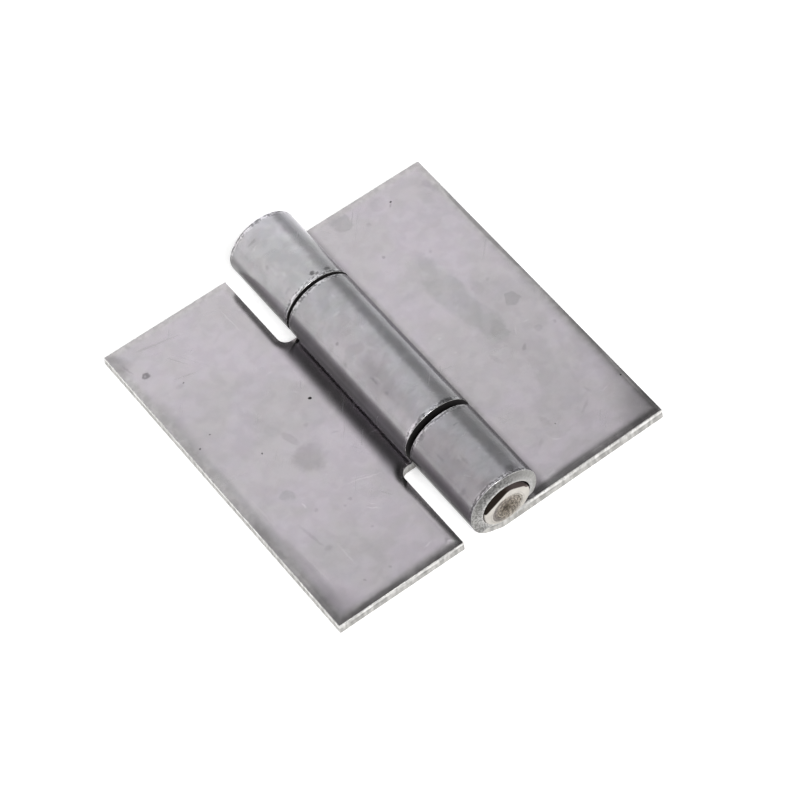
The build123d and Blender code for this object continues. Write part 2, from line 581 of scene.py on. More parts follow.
def shape_near_end(bm, at_pin, at_edge, slant):
    """Slants the near cut, and spreads the near knuckle."""
    through_sheet = bm.verts.layers.float["through_sheet"]
    for v in bm.verts:
        if v.co.y > NEAR_ZONE - HALF_LENGTH:
            continue
        turn = travelled_round(v.co)
        back = at_pin + (at_edge - at_pin) * max(v.co.x / HALF_WIDTH, 0)
        outside = outside_out(turn) if turn else back
        inside = between(back - slant, BORE_OUT, turn / BORE_OUT_FROM)
        v.co.y -= outside + (inside - outside) * v[through_sheet]


print(f"the near bore stands out {BORE_OUT / MM:.2f} mm")

# %% [markdown]
# ## A leaf, step 6: which faces are skin, cut or burr
# Three finishes meet on a leaf: the rolled skin of the sheet, the cut edges that the shears left
# pale and rough, and the thin bright line where a cut meets the skin. Each face is given its
# finish by which way it looks and how narrow it is. The knuckles' end faces are cuts too,
# because they are the tabs' own sheared edges.

# %% Sorting the faces
SKIN, CUT, BURR = 0, 1, 2
FACES_ALONG_THE_PIN = 0.9
LEVEL_ENOUGH = 0.3
CORNER_REACH = 0.11 * MM


def is_upright(face):
    """Whether a face stands across the sheet: an end of a knuckle, or an edge of the flat."""
    if abs(face.normal.y) > FACES_ALONG_THE_PIN:
        return True
    middle = face.calc_center_median()
    return middle.x > TINY and middle.z < SHEET and abs(face.normal.z) < LEVEL_ENOUGH


def sort_faces(bm, tips):
    """Sets each face's material index, and returns how many faces have each."""
    from_edge = bm.verts.layers.float["from_edge"]
    for face in bm.faces:
        face.smooth = True
        if is_upright(face) or face in tips:
            face.material_index = CUT
        elif max(v[from_edge] for v in face.verts) < CORNER_REACH:
            face.material_index = BURR
        else:
            face.material_index = SKIN
    return {index: sum(f.material_index == index for f in bm.faces) for index in (SKIN, CUT, BURR)}


print("faces within", round(CORNER_REACH / MM, 2), "mm of a cut are burr")

# %% [markdown]
# ## A leaf, step 7: both leaves
# The steps are taken in order for each leaf. The single-knuckle leaf is made on the same side as the
# other and then turned over with a scale of -1, which turns it inside out, so the normals are worked
# out again once the doubles are merged. Its bore is a little larger, because it runs on the pin.

# %% Both leaf meshes


def leaf_mesh(name, tabs, bore_top, on_plus_x, near_end):
    """A whole leaf as a mesh."""
    bm = flat_blank(tabs)
    sheared_sheet(bm)
    for y_from, y_to in tabs:
        spin_tab(bm, y_from, y_to)
    iron_bore(bm)
    relax_roll(bm, bore_top)
    tips = cut_tips(bm)
    shape_near_end(bm, *near_end)
    bm.normal_update()
    print(name, "faces by finish", sort_faces(bm, tips))
    bmesh.ops.remove_doubles(bm, verts=bm.verts, dist=TINY)
    if not on_plus_x:
        bmesh.ops.scale(bm, vec=(-1, 1, 1), verts=bm.verts)
    bmesh.ops.recalc_face_normals(bm, faces=bm.faces)
    mesh = bpy.data.meshes.new(name)
    bm.to_mesh(mesh)
    bm.free()
    return mesh


two_knuckle_mesh = leaf_mesh(
    "two_knuckle_leaf_skin", OUTER_TABS, PIN_RADIUS, True, DOUBLE_NEAR_END
)
single_knuckle_mesh = leaf_mesh(
    "single_knuckle_leaf_skin", MIDDLE_TAB, BARREL_RADIUS - SHEET, False, SINGLE_NEAR_END
)

# %% [markdown]
# ## The pin, 1: one end
# The pin is a length of bright drawn bar. Its ends were faced on a lathe, which left a smooth rim,
# a rough hollow in the middle where the tool tore the steel, and a few rings round it. One end is
# listed from its middle out to the bar's side, with a small rounded chamfer.

# %% Outline of an end
PIN_CHAMFER = 0.3 * MM
DISH_RADIUS = 2.6 * MM
DISH_DEPTH = 0.2 * MM
DISH_STEPS = 26
DISH_RINGS = 5
RING_RISE = 0.02 * MM
RIM_RINGS = 8
CHAMFER_TURNS = range(0, 91, 15)


def pin_end():
    """Radius and depth below the end face, from the middle of the end out to the pin's side."""
    outline = []
    for i in range(DISH_STEPS + 1):
        out = i / DISH_STEPS
        rings = RING_RISE * math.sin(2 * math.pi * DISH_RINGS * out) * math.sin(math.pi * out)
        outline.append((DISH_RADIUS * out, DISH_DEPTH * (1 - out ** 2) + rings))
    rim_width = PIN_RADIUS - PIN_CHAMFER - DISH_RADIUS
    outline += [(DISH_RADIUS + rim_width * i / RIM_RINGS, 0) for i in range(1, RIM_RINGS)]
    for turn in CHAMFER_TURNS:
        a = math.radians(turn)
        inset = PIN_CHAMFER * (1 - math.sin(a))
        outline.append((PIN_RADIUS - inset, PIN_CHAMFER * (1 - math.cos(a))))
    return outline


print("one end has", len(pin_end()), "points from its middle to its side")

# %% [markdown]
# ## The pin, 2: the cropped end
# The bar was first cropped in a shear. That rolled two sides at the top of the near end down, with a
# soft corner between them, and swelled the end to the right, where the relaxed roll leaves it room.
# Both faults are pressed into the finished bar by moving its points.

# %% Cropped end
CROPPED_SIDES = [(math.radians(122), 2.64 * MM), (math.radians(60), 3.16 * MM)]
CROPPED_SLOPE = 1.1
CROPPED_CORNER = 1.3 * MM
SWELLING = 0.36 * MM
SWELLING_TURN = math.radians(-25)
SWELLING_REACH = math.radians(70)
SWELLING_DEPTH = 1.2 * MM


def soft_larger(first, second):
    """The larger of two lengths, rounded where they are close, as a Smooth Maximum node does it."""
    closeness = max(1 - abs(first - second) / CROPPED_CORNER, 0)
    return max(first, second) + closeness ** 3 * CROPPED_CORNER / 6


def crop_near_end(bm):
    """Rolls two sides of the near end down, each past a straight line across the end."""
    for v in bm.verts:
        across, above = v.co.x, v.co.z - AXIS_HEIGHT
        past = soft_larger(*(
            across * math.cos(a) + above * math.sin(a) - sound for a, sound in CROPPED_SIDES
        ))
        if v.co.y < 0 and past > 0:
            v.co.y += past * CROPPED_SLOPE


def swell_near_end(bm):
    """Swells the near end to the right, most at its rim."""
    for v in bm.verts:
        across, above = v.co.x, v.co.z - AXIS_HEIGHT
        off_turn = abs(math.atan2(above, across) - SWELLING_TURN) / SWELLING_REACH
        behind = (v.co.y + PIN_HALF_LENGTH) / SWELLING_DEPTH
        swelling = SWELLING * between(1, 0, off_turn) * between(1, 0, behind)
        larger = 1 + swelling * math.hypot(across, above) / PIN_RADIUS ** 2
        v.co.x, v.co.z = across * larger, AXIS_HEIGHT + above * larger


print(f"the near end is swollen by up to {SWELLING / MM:.2f} mm")

# %% [markdown]
# ## The pin, 3: turning it
# The outline is listed from the middle of one end to the middle of the other, as radius and place
# along the pin, and is turned once round the axis. A few extra rings near the end let the swelling
# fade out before the bar enters the middle knuckle.

# %% Pin
PIN_TURN_STEPS = 120
SWELLING_RINGS = 5


def pin_mesh():
    """The pin, turned from its outline."""
    near = [(radius, depth - PIN_HALF_LENGTH) for radius, depth in pin_end()]
    far = [(radius, -y) for radius, y in reversed(near)]
    side = [
        (PIN_RADIUS, SWELLING_DEPTH * i / SWELLING_RINGS - PIN_HALF_LENGTH)
        for i in range(2, SWELLING_RINGS + 1)
    ]
    bm = bmesh.new()
    points = [bm.verts.new((radius, y, AXIS_HEIGHT)) for radius, y in near + side + far]
    edges = [bm.edges.new(pair) for pair in zip(points, points[1:])]
    bmesh.ops.spin(
        bm, geom=points + edges, cent=(0, 0, AXIS_HEIGHT), axis=(0, 1, 0),
        angle=math.radians(360), steps=PIN_TURN_STEPS, use_merge=True,
    )
    bmesh.ops.remove_doubles(bm, verts=bm.verts, dist=TINY)
    swell_near_end(bm)
    crop_near_end(bm)
    bmesh.ops.recalc_face_normals(bm, faces=bm.faces)
    for face in bm.faces:
        face.smooth = True
    mesh = bpy.data.meshes.new("pin_bar")
    bm.to_mesh(mesh)
    bm.free()
    return mesh


pin_bar = pin_mesh()
print("pin", len(pin_bar.vertices), "points")

# %% [markdown]
# ## Shared effects, 1: node groups
# An effect that several finishes use is a node group, built once and put into each material with
# values of its own. Three helpers make a group, put one into a material, and do a step of arithmetic
# on places.

# %% Group helpers


def new_group(name, inputs, outputs):
    """A node group with named sockets. Returns its tree, its inputs and its output node."""
    tree = bpy.data.node_groups.new(name, "ShaderNodeTree")
    for socket, kind in inputs.items():
        tree.interface.new_socket(socket, in_out="INPUT", socket_type=kind)
    for socket in outputs:
        tree.interface.new_socket(socket, in_out="OUTPUT", socket_type="NodeSocketFloat")
    return tree, tree.nodes.new("NodeGroupInput").outputs, tree.nodes.new("NodeGroupOutput")


def use_group(tree, group, **inputs):
    """Puts a group into a material. Returns its outputs."""
    node = tree.nodes.new("ShaderNodeGroup")
    node.node_tree = group
    for name, value in inputs.items():
        fill(tree, node.inputs[name], value)
    return node.outputs


def vector_calc(tree, operation, a, b):
    """One step of arithmetic on vectors. Returns the node's outputs."""
    node = add_node(tree, "ShaderNodeVectorMath", {"operation": operation})
    fill(tree, node.inputs[0], a)
    fill(tree, node.inputs[1], b)
    return node.outputs


group_helpers = [new_group, use_group, vector_calc]
print("helpers", [helper.__name__ for helper in group_helpers])

# %% [markdown]
# ## Shared effects, 2: a mark at a place
# Stains, smudges, pits and scratches sit at places of their own. One node group makes them all. It
# turns a point round the mark's centre, measures how far away it is as a share of the mark's reach,
# and puts out a tone: the mark's own tone at its middle, and one outside it. Places are first
# shifted by noise, so that the marks' rims come out ragged: blotches of a middling size most, small
# marks a little. The long marks that follow a leaf's border aren't shifted.

# %% Marks at places
TOP_MARK_DEPTH = 1.4 * MM
BLOTCH_FROM, BLOTCH_TO = 0.85, 3.3
BORDER_FROM = 6.0


def make_mark_group():
    """The group that makes one placed mark."""
    vector, number = "NodeSocketVector", "NodeSocketFloat"
    sockets = {
        "Place": vector, "Centre": vector, "Reach": vector,
        "Turn": number, "Softness": number, "Own Tone": number,
    }
    tree, given, result = new_group("placed_mark", sockets, ["Tone"])
    away = vector_calc(tree, "SUBTRACT", given["Place"], given["Centre"])[0]
    turned = add_node(
        tree, "ShaderNodeVectorRotate", {"rotation_type": "Z_AXIS"}, Vector=away, Angle=given["Turn"]
    ).outputs[0]
    share = vector_calc(tree, "DIVIDE", turned, given["Reach"])[0]
    distance = add_node(tree, "ShaderNodeVectorMath", {"operation": "LENGTH"}, Vector=share)
    inner = calc(tree, "SUBTRACT", 1.0, given["Softness"])
    tone = add_node(
        tree, "ShaderNodeMapRange", {"interpolation_type": "SMOOTHSTEP"},
        Value=distance.outputs["Value"], From_Min=inner, From_Max=1.0,
        To_Min=given["Own Tone"], To_Max=1.0,
    )
    fill(tree, result.inputs["Tone"], tone.outputs["Result"])
    return tree


def shift_place(tree, place, scale, amount):
    """A place moved about by noise, so that what is drawn at it has ragged rims."""
    push = vector_calc(tree, "SUBTRACT", noise(tree, place, scale, 3.0)["Color"], (0.5, 0.5, 0.5))[0]
    push = vector_calc(tree, "MULTIPLY", push, (amount, amount, amount))[0]
    return vector_calc(tree, "ADD", place, push)[0]


def on_flat(x, y, width, length):
    """Centre and reach of a mark on a leaf's top, from millimetres."""
    return (x * MM, y * MM, SHEET), (width * MM, length * MM, TOP_MARK_DEPTH)


def on_barrel(turn, y, width, length):
    """Centre and reach of a mark on the barrel, from degrees round the pin and millimetres."""
    x = BARREL_RADIUS * math.cos(math.radians(turn))
    z = AXIS_HEIGHT + BARREL_RADIUS * math.sin(math.radians(turn))
    return (x, y * MM, z), (width * MM, length * MM, width * MM)


def marks_tone(tree, places, marks, where):
    """The tones of several marks, multiplied together."""
    ragged_place, near_place, true_place = places
    tone = 1.0
    for first, y, width, length, turn, softness, own_tone in marks:
        centre, reach = where(first, y, width, length)
        place = ragged_place if BLOTCH_FROM < min(width, length) < BLOTCH_TO else near_place
        if max(width, length) > BORDER_FROM:
            place = true_place
        one = use_group(tree, placed_mark, **{
            "Place": place, "Centre": centre, "Reach": reach, "Turn": -math.radians(turn),
            "Softness": softness, "Own Tone": own_tone,
        })["Tone"]
        tone = calc(tree, "MULTIPLY", tone, one)
    return tone


placed_mark = make_mark_group()
print("group", placed_mark.name)

# %% [markdown]
# ## Shared effects, 3: clouds and scratches
# Mill-finish sheet is never one even tone. Oil and air leave thin clouds with drawn edges, like
# marks where a puddle dried, and patches that lean from lilac to grey. Handling leaves hair-fine
# scratches, mostly short and in all directions. The clouds are noise cut off softly at one level.
# The scratches are noise stretched long and thin, kept only where it peaks and only here and there.

# %% Clouds and scratches
CLOUDS_PER_METRE = 75
CLOUD_BODY = 0.8
CLOUD_RIM = 0.25
TINTS_PER_METRE = 130
RIPPLES_PER_METRE = 420
SCRATCH_LENGTHS_PER_METRE = 90
SCRATCH_WIDTHS_PER_METRE = 3600
SCRATCH_PATCHES_PER_METRE = 160


def make_cloud_group():
    """Clouds with a drawn edge, patches of tint, and a finer ripple of tone."""
    tree, given, result = new_group(
        "dried_clouds", {"Place": "NodeSocketVector"}, ["Cloud", "Tint", "Ripple"]
    )
    lumps = noise(tree, given["Place"], CLOUDS_PER_METRE, 5.0, 0.6)["Fac"]
    body = fade(tree, lumps, 0.5, 0.6)
    rim = calc(tree, "MULTIPLY", fade(tree, lumps, 0.47, 0.51), fade(tree, lumps, 0.55, 0.51))
    body = calc(tree, "MULTIPLY", body, CLOUD_BODY)
    rim = calc(tree, "MULTIPLY", rim, CLOUD_RIM)
    fill(tree, result.inputs["Cloud"], calc(tree, "ADD", body, rim, clamp=True))
    tint = noise(tree, given["Place"], TINTS_PER_METRE, 4.0, 0.4)["Fac"]
    fill(tree, result.inputs["Tint"], fade(tree, tint, 0.4, 0.6))
    ripple = noise(tree, given["Place"], RIPPLES_PER_METRE, 5.0, 0.3)["Fac"]
    fill(tree, result.inputs["Ripple"], fade(tree, ripple, 0.3, 0.7))
    return tree


def make_scratch_group():
    """Hair-fine scratches that run at one angle in the plane of the leaf."""
    tree, given, result = new_group(
        "hair_scratches", {"Place": "NodeSocketVector", "Turn": "NodeSocketVector"}, ["Mask"]
    )
    turned = add_node(tree, "ShaderNodeMapping", Vector=given["Place"], Rotation=given["Turn"])
    stretched = vector_calc(
        tree, "MULTIPLY", turned.outputs[0],
        (SCRATCH_LENGTHS_PER_METRE, SCRATCH_WIDTHS_PER_METRE, SCRATCH_LENGTHS_PER_METRE),
    )[0]
    hairs = fade(tree, noise(tree, stretched, 1.0, 1.0, 0.3)["Fac"], 0.68, 0.78)
    patches = noise(tree, turned.outputs[0], SCRATCH_PATCHES_PER_METRE, 2.0)["Fac"]
    patches = fade(tree, patches, 0.52, 0.66)
    fill(tree, result.inputs["Mask"], calc(tree, "MULTIPLY", hairs, patches))
    return tree


dried_clouds = make_cloud_group()
hair_scratches = make_scratch_group()
print("groups", dried_clouds.name, hair_scratches.name)

# %% [markdown]
# ## Colours and tones
# Each finish starts from a few colours and is then made darker or lighter by tones. A tone is a
# number near one that the colour is multiplied by. These helpers blend numbers, multiply colours, let
# a hue wander a little, and give one value on the near side of the hinge and another on the far side.
# From here on, most of the paired lengths say where something starts to fade in and where it is full.

# %% Colour helpers
FLECKS_PER_METRE = 520
NEAR_TO_FAR = (-1 * MM, 1 * MM)


def grey_of(tree, value):
    """The grey colour with a value for each of red, green and blue."""
    return add_node(tree, "ShaderNodeCombineColor", Red=value, Green=value, Blue=value).outputs[0]


def times(tree, colour, tint):
    """A colour multiplied by another."""
    node = add_node(tree, "ShaderNodeMix", {"data_type": "RGBA", "blend_type": "MULTIPLY"})
    fill(tree, node.inputs[0], 1.0)
    fill(tree, node.inputs[6], colour)
    fill(tree, node.inputs[7], tint)
    return node.outputs[2]


def toned(tree, colour, *tones):
    """A colour made darker or lighter by several tones."""
    total = 1.0
    for tone in tones:
        total = calc(tree, "MULTIPLY", total, tone)
    return times(tree, colour, grey_of(tree, total))


def blend_values(tree, amount, a, b):
    """Mixes number a towards number b."""
    change = calc(tree, "MULTIPLY", amount, calc(tree, "SUBTRACT", b, a))
    return calc(tree, "ADD", a, change)


def flecked(tree, place, colour, strength):
    """A colour whose hue wanders a little from place to place."""
    wander = vector_calc(
        tree, "MULTIPLY", noise(tree, place, FLECKS_PER_METRE, 3.0, 0.6)["Color"], (strength,) * 3
    )[0]
    base = 1 - strength / 2
    return times(tree, colour, vector_calc(tree, "ADD", wander, (base,) * 3)[0])


def near_and_far(tree, along_pin, values):
    """One value on the near side of the middle of the pin and another on the far side."""
    near, far = values
    return fade(tree, along_pin, *NEAR_TO_FAR, near, far)


colour_helpers = [grey_of, times, toned, blend_values, flecked, near_and_far]
print("helpers", [helper.__name__ for helper in colour_helpers])

# %% [markdown]
# ## The rolled skin, 1: the flats
# The flats are bright, slightly lilac steel, greyer where a cloud dried and warmer along the border,
# where the pressed-down edge is speckled. Painted shade darkens them into the crease beside the
# barrel, and painted light lifts them again under a roll.

# %% Flats
LILAC_STEEL = (0.58, 0.54, 0.587, 1)
CLOUD_GREY = (0.5, 0.488, 0.512, 1)
WARM_GREY = (0.53, 0.512, 0.515, 1)
CREASE = (9.1 * MM, 7.4 * MM)
CREASE_SHADE = 0.5
UNDER_ROLL = (6.1 * MM, 5.6 * MM)
UNDER_ROLL_LIGHT = 2.6
PAST_NOTCH = (15.5 * MM, 16.2 * MM)
LEFT_LEAF = (-1 * MM, -2 * MM)
BORDER = (1.9 * MM, 0.6 * MM)
BORDER_SPECKS_PER_METRE = 900


def painted_crease_shade(tree, place):
    """Painted shade towards the barrel, left off beside the left's notches, with painted light under
    a roll.
    """
    across, along = separate(tree, place)[:2]
    out = calc(tree, "ABSOLUTE", across)
    tone = fade(tree, out, *CREASE, 1.0, CREASE_SHADE)
    under_roll = fade(tree, out, *UNDER_ROLL, 1.0, UNDER_ROLL_LIGHT)
    notch = fade(tree, calc(tree, "ABSOLUTE", along), *PAST_NOTCH)
    notch = calc(tree, "MULTIPLY", notch, fade(tree, across, *LEFT_LEAF))
    opened = calc(tree, "MULTIPLY", notch, calc(tree, "SUBTRACT", 1.0, tone))
    return calc(tree, "MULTIPLY", calc(tree, "ADD", tone, opened), under_roll)


def flat_colour(tree, true_place, places, clouds, from_edge, marks, cool_marks):
    """The colour of a leaf's flat top, with the crease's painted shade."""
    border = fade(tree, from_edge, *BORDER)
    cool = calc(tree, "SUBTRACT", 1.0, marks_tone(tree, places, cool_marks, on_flat))
    greyness = calc(tree, "ADD", calc(tree, "MULTIPLY", clouds["Cloud"], 0.25), cool)
    colour = blend(tree, greyness, LILAC_STEEL, CLOUD_GREY)
    patches = calc(tree, "MULTIPLY", clouds["Tint"], 0.5)
    warmth = calc(tree, "MAXIMUM", patches, calc(tree, "MULTIPLY", border, 0.85))
    colour = flecked(tree, true_place, blend(tree, warmth, colour, WARM_GREY), 0.04)
    ripple = fade(tree, clouds["Ripple"], 0.0, 1.0, 0.965, 1.03)
    specks = noise(tree, true_place, BORDER_SPECKS_PER_METRE, 3.0)["Fac"]
    speckle = fade(tree, specks, 0.35, 0.65, -0.08, 0.08)
    speckle = calc(tree, "ADD", 1.0, calc(tree, "MULTIPLY", speckle, border))
    return toned(
        tree, colour, painted_crease_shade(tree, true_place), ripple, speckle,
        marks_tone(tree, places, marks, on_flat),
    )


print(f"the flats darken from {CREASE[0] / MM:.1f} to {CREASE[1] / MM:.1f} mm from the axis")

# %% [markdown]
# ## The rolled skin, 2: the barrel
# The barrel is greyer and more mottled, because the rolling die rubbed it. Its shading round the pin
# is painted: shade on its left and below the axis, and on its right a dark strip followed by bands
# painted lighter and darker, which differ from knuckle to knuckle. Its far left is tinted a touch
# green. Fine broken lines run beside the knuckles' rims, where the sheared edge was drawn out.

# %% Barrel
BARREL_LILAC = (0.475, 0.45, 0.474, 1)
BARREL_GREY = (0.472, 0.466, 0.495, 1)
BARREL_CLOUD = (0.415, 0.415, 0.42, 1)
LEFT_SIDE_TINT = (0.98, 1, 0.98, 1)
SHADE_BELOW = 0.5
SHADE_BELOW_DEPTH = 1 * MM
RIM_LINE_LENGTHS_PER_METRE = 600
RIM_LINE_WIDTHS_PER_METRE = 3600
RIM_CRUMBS_PER_METRE = 3000
RIM_LINE_REACH = (1.0 * MM, 0.2 * MM)


def painted_barrel_shade(tree, place, barrel_shading):
    """Painted shade and light round the barrel, as a tone: shade on its left and below, bands on its
    right.

    Each pair given is for the near and the far side of the middle: where the left's painted shade
    begins, how wide its fade is, its tones before and after, then the tones of a painted strip on the
    right, of the painted shine past it and of what lies past that.
    """
    across, along, height = separate(tree, place)
    side = calc(tree, "DIVIDE", across, BARREL_RADIUS)
    left_from, left_width, left_before, left_after, strip_tone, shine, right_after = [
        near_and_far(tree, along, values) for values in barrel_shading
    ]
    left = fade(tree, side, -0.55, -0.8, 1.0, left_before)
    past = calc(tree, "DIVIDE", calc(tree, "SUBTRACT", left_from, side), left_width)
    left = blend_values(tree, fade(tree, past, 0.0, 1.0), left, left_after)
    right = blend_values(tree, fade(tree, side, 0.5, 0.62), 1.0, strip_tone)
    right = blend_values(tree, fade(tree, side, 0.63, 0.71), right, shine)
    right = blend_values(tree, fade(tree, side, 0.75, 0.87), right, right_after)
    below = fade(tree, height, AXIS_HEIGHT, AXIS_HEIGHT - SHADE_BELOW_DEPTH, 1.0, SHADE_BELOW)
    return calc(tree, "MULTIPLY", calc(tree, "MULTIPLY", left, right), below)


def barrel_colour(tree, place, places, clouds, marks, tones, barrel_shading):
    """The colour of a knuckle's outside, with painted shade and light round it and from near to far.
    """
    across, along = separate(tree, place)[:2]
    side = calc(tree, "DIVIDE", across, BARREL_RADIUS)
    lean = calc(tree, "ADD", side, calc(tree, "MULTIPLY", clouds["Tint"], 0.5))
    colour = blend(tree, fade(tree, lean, -0.35, 0.35), BARREL_LILAC, BARREL_GREY)
    colour = blend(tree, calc(tree, "MULTIPLY", clouds["Cloud"], 0.7), colour, BARREL_CLOUD)
    left_tint = blend(tree, fade(tree, side, -0.8, -0.95), (1, 1, 1, 1), LEFT_SIDE_TINT)
    ripple = fade(tree, clouds["Ripple"], 0.0, 1.0, 0.93, 1.05)
    colour = flecked(tree, place, times(tree, colour, left_tint), 0.07)
    # The knuckles' tones paint shade on the near side and light on the far side.
    return toned(
        tree, colour, ripple, near_and_far(tree, along, tones),
        painted_barrel_shade(tree, place, barrel_shading), marks_tone(tree, places, marks, on_barrel),
    )


def rim_lines(tree, place, from_edge):
    """Fine broken lines beside a knuckle's rim, as a tone."""
    drawn = vector_calc(
        tree, "MULTIPLY", place,
        (RIM_LINE_LENGTHS_PER_METRE, RIM_LINE_WIDTHS_PER_METRE, RIM_LINE_LENGTHS_PER_METRE),
    )[0]
    lines = noise(tree, drawn, 1.0, 3.0)["Fac"]
    crumbs = noise(tree, place, RIM_CRUMBS_PER_METRE, 3.0)["Fac"]
    reach = fade(tree, from_edge, *RIM_LINE_REACH)
    line_tone = fade(tree, calc(tree, "ADD", lines, crumbs), 0.84, 1.16, 0.42, 1.6)
    return calc(
        tree, "ADD", 1.0, calc(tree, "MULTIPLY", reach, calc(tree, "SUBTRACT", line_tone, 1.0))
    )


print(f"lines run up to {RIM_LINE_REACH[0] / MM:.1f} mm beside a rim")

# %% [markdown]
# ## The rolled skin, 3: the whole material
# A leaf and its knuckles are one sheet, so they share one material. It goes from the flats' colour to
# the barrel's over the foot of the roll, and lays the hair scratches over both. The scratches and
# slow waves also go into a Bump node, which tips the light without moving the surface. Each leaf has
# its own marks, so the material is made by a function that takes them.

# %% Skin
BARREL_FROM = SHEET + 0.3 * MM
BARREL_TO = SHEET + 1.2 * MM
SCRATCH_BRIGHT = (0.68, 0.66, 0.68, 1)
SCRATCH_TURNS = (12, 58, 131)
FINE_SHIFT = (1500, 0.6 * MM)
COARSE_SHIFT = (260, 3.4 * MM)
WAVES_PER_METRE = 330
SKIN_RELIEF = 0.012 * MM


def scratches(tree, place):
    """Scratches at three angles, laid over one another."""
    total = 0.0
    for turn in SCRATCH_TURNS:
        mask = use_group(tree, hair_scratches, Place=place, Turn=(0, 0, math.radians(turn)))["Mask"]
        total = calc(tree, "MAXIMUM", total, mask)
    return total


def skin_relief(tree, place, rolled, hairs):
    """The normal of the skin: slow waves, deeper on the barrel, and the scratches cut in."""
    waves = noise(tree, place, WAVES_PER_METRE, 3.0)["Fac"]
    relief = calc(tree, "MULTIPLY", waves, fade(tree, rolled, 0.0, 1.0, 1.0, 2.4))
    relief = calc(tree, "SUBTRACT", relief, calc(tree, "MULTIPLY", hairs, 0.05))
    return add_node(
        tree, "ShaderNodeBump", Height=relief, Strength=1.0, Distance=SKIN_RELIEF
    ).outputs[0]


def leaf_skin(name, flat_marks, cool_marks, barrel_marks, tones, barrel_shading):
    """The skin of one leaf and its knuckles, with their own marks and tones."""
    material = bpy.data.materials.new(name)
    material.use_nodes = True
    tree = material.node_tree
    shader = tree.nodes["Principled BSDF"]
    true_place = add_node(tree, "ShaderNodeTexCoord").outputs["Object"]
    place = shift_place(tree, true_place, *FINE_SHIFT)
    places = shift_place(tree, place, *COARSE_SHIFT), place, true_place
    from_edge = add_node(tree, "ShaderNodeAttribute", {"attribute_name": "from_edge"}).outputs["Fac"]
    clouds = use_group(tree, dried_clouds, Place=true_place)
    hairs = scratches(tree, true_place)
    rolled = fade(tree, separate(tree, true_place)[2], BARREL_FROM, BARREL_TO)

    flat = flat_colour(tree, true_place, places, clouds, from_edge, flat_marks, cool_marks)
    barrel = barrel_colour(tree, true_place, places, clouds, barrel_marks, tones, barrel_shading)
    barrel = toned(tree, barrel, rim_lines(tree, true_place, from_edge))
    colour = blend(tree, rolled, flat, barrel)
    colour = blend(tree, calc(tree, "MULTIPLY", hairs, 0.4), colour, SCRATCH_BRIGHT)
    fill(tree, shader.inputs["Base Color"], colour)
    fill(tree, shader.inputs["Metallic"], 1.0)
    roughness = fade(tree, clouds["Cloud"], 0.0, 1.0, 0.2, 0.24)
    roughness = calc(tree, "ADD", roughness, calc(tree, "MULTIPLY", hairs, 0.2))
    fill(tree, shader.inputs["Roughness"], roughness)
    fill(tree, shader.inputs["Normal"], skin_relief(tree, true_place, rolled, hairs))
    return material


print("scratches run at", SCRATCH_TURNS, "degrees")
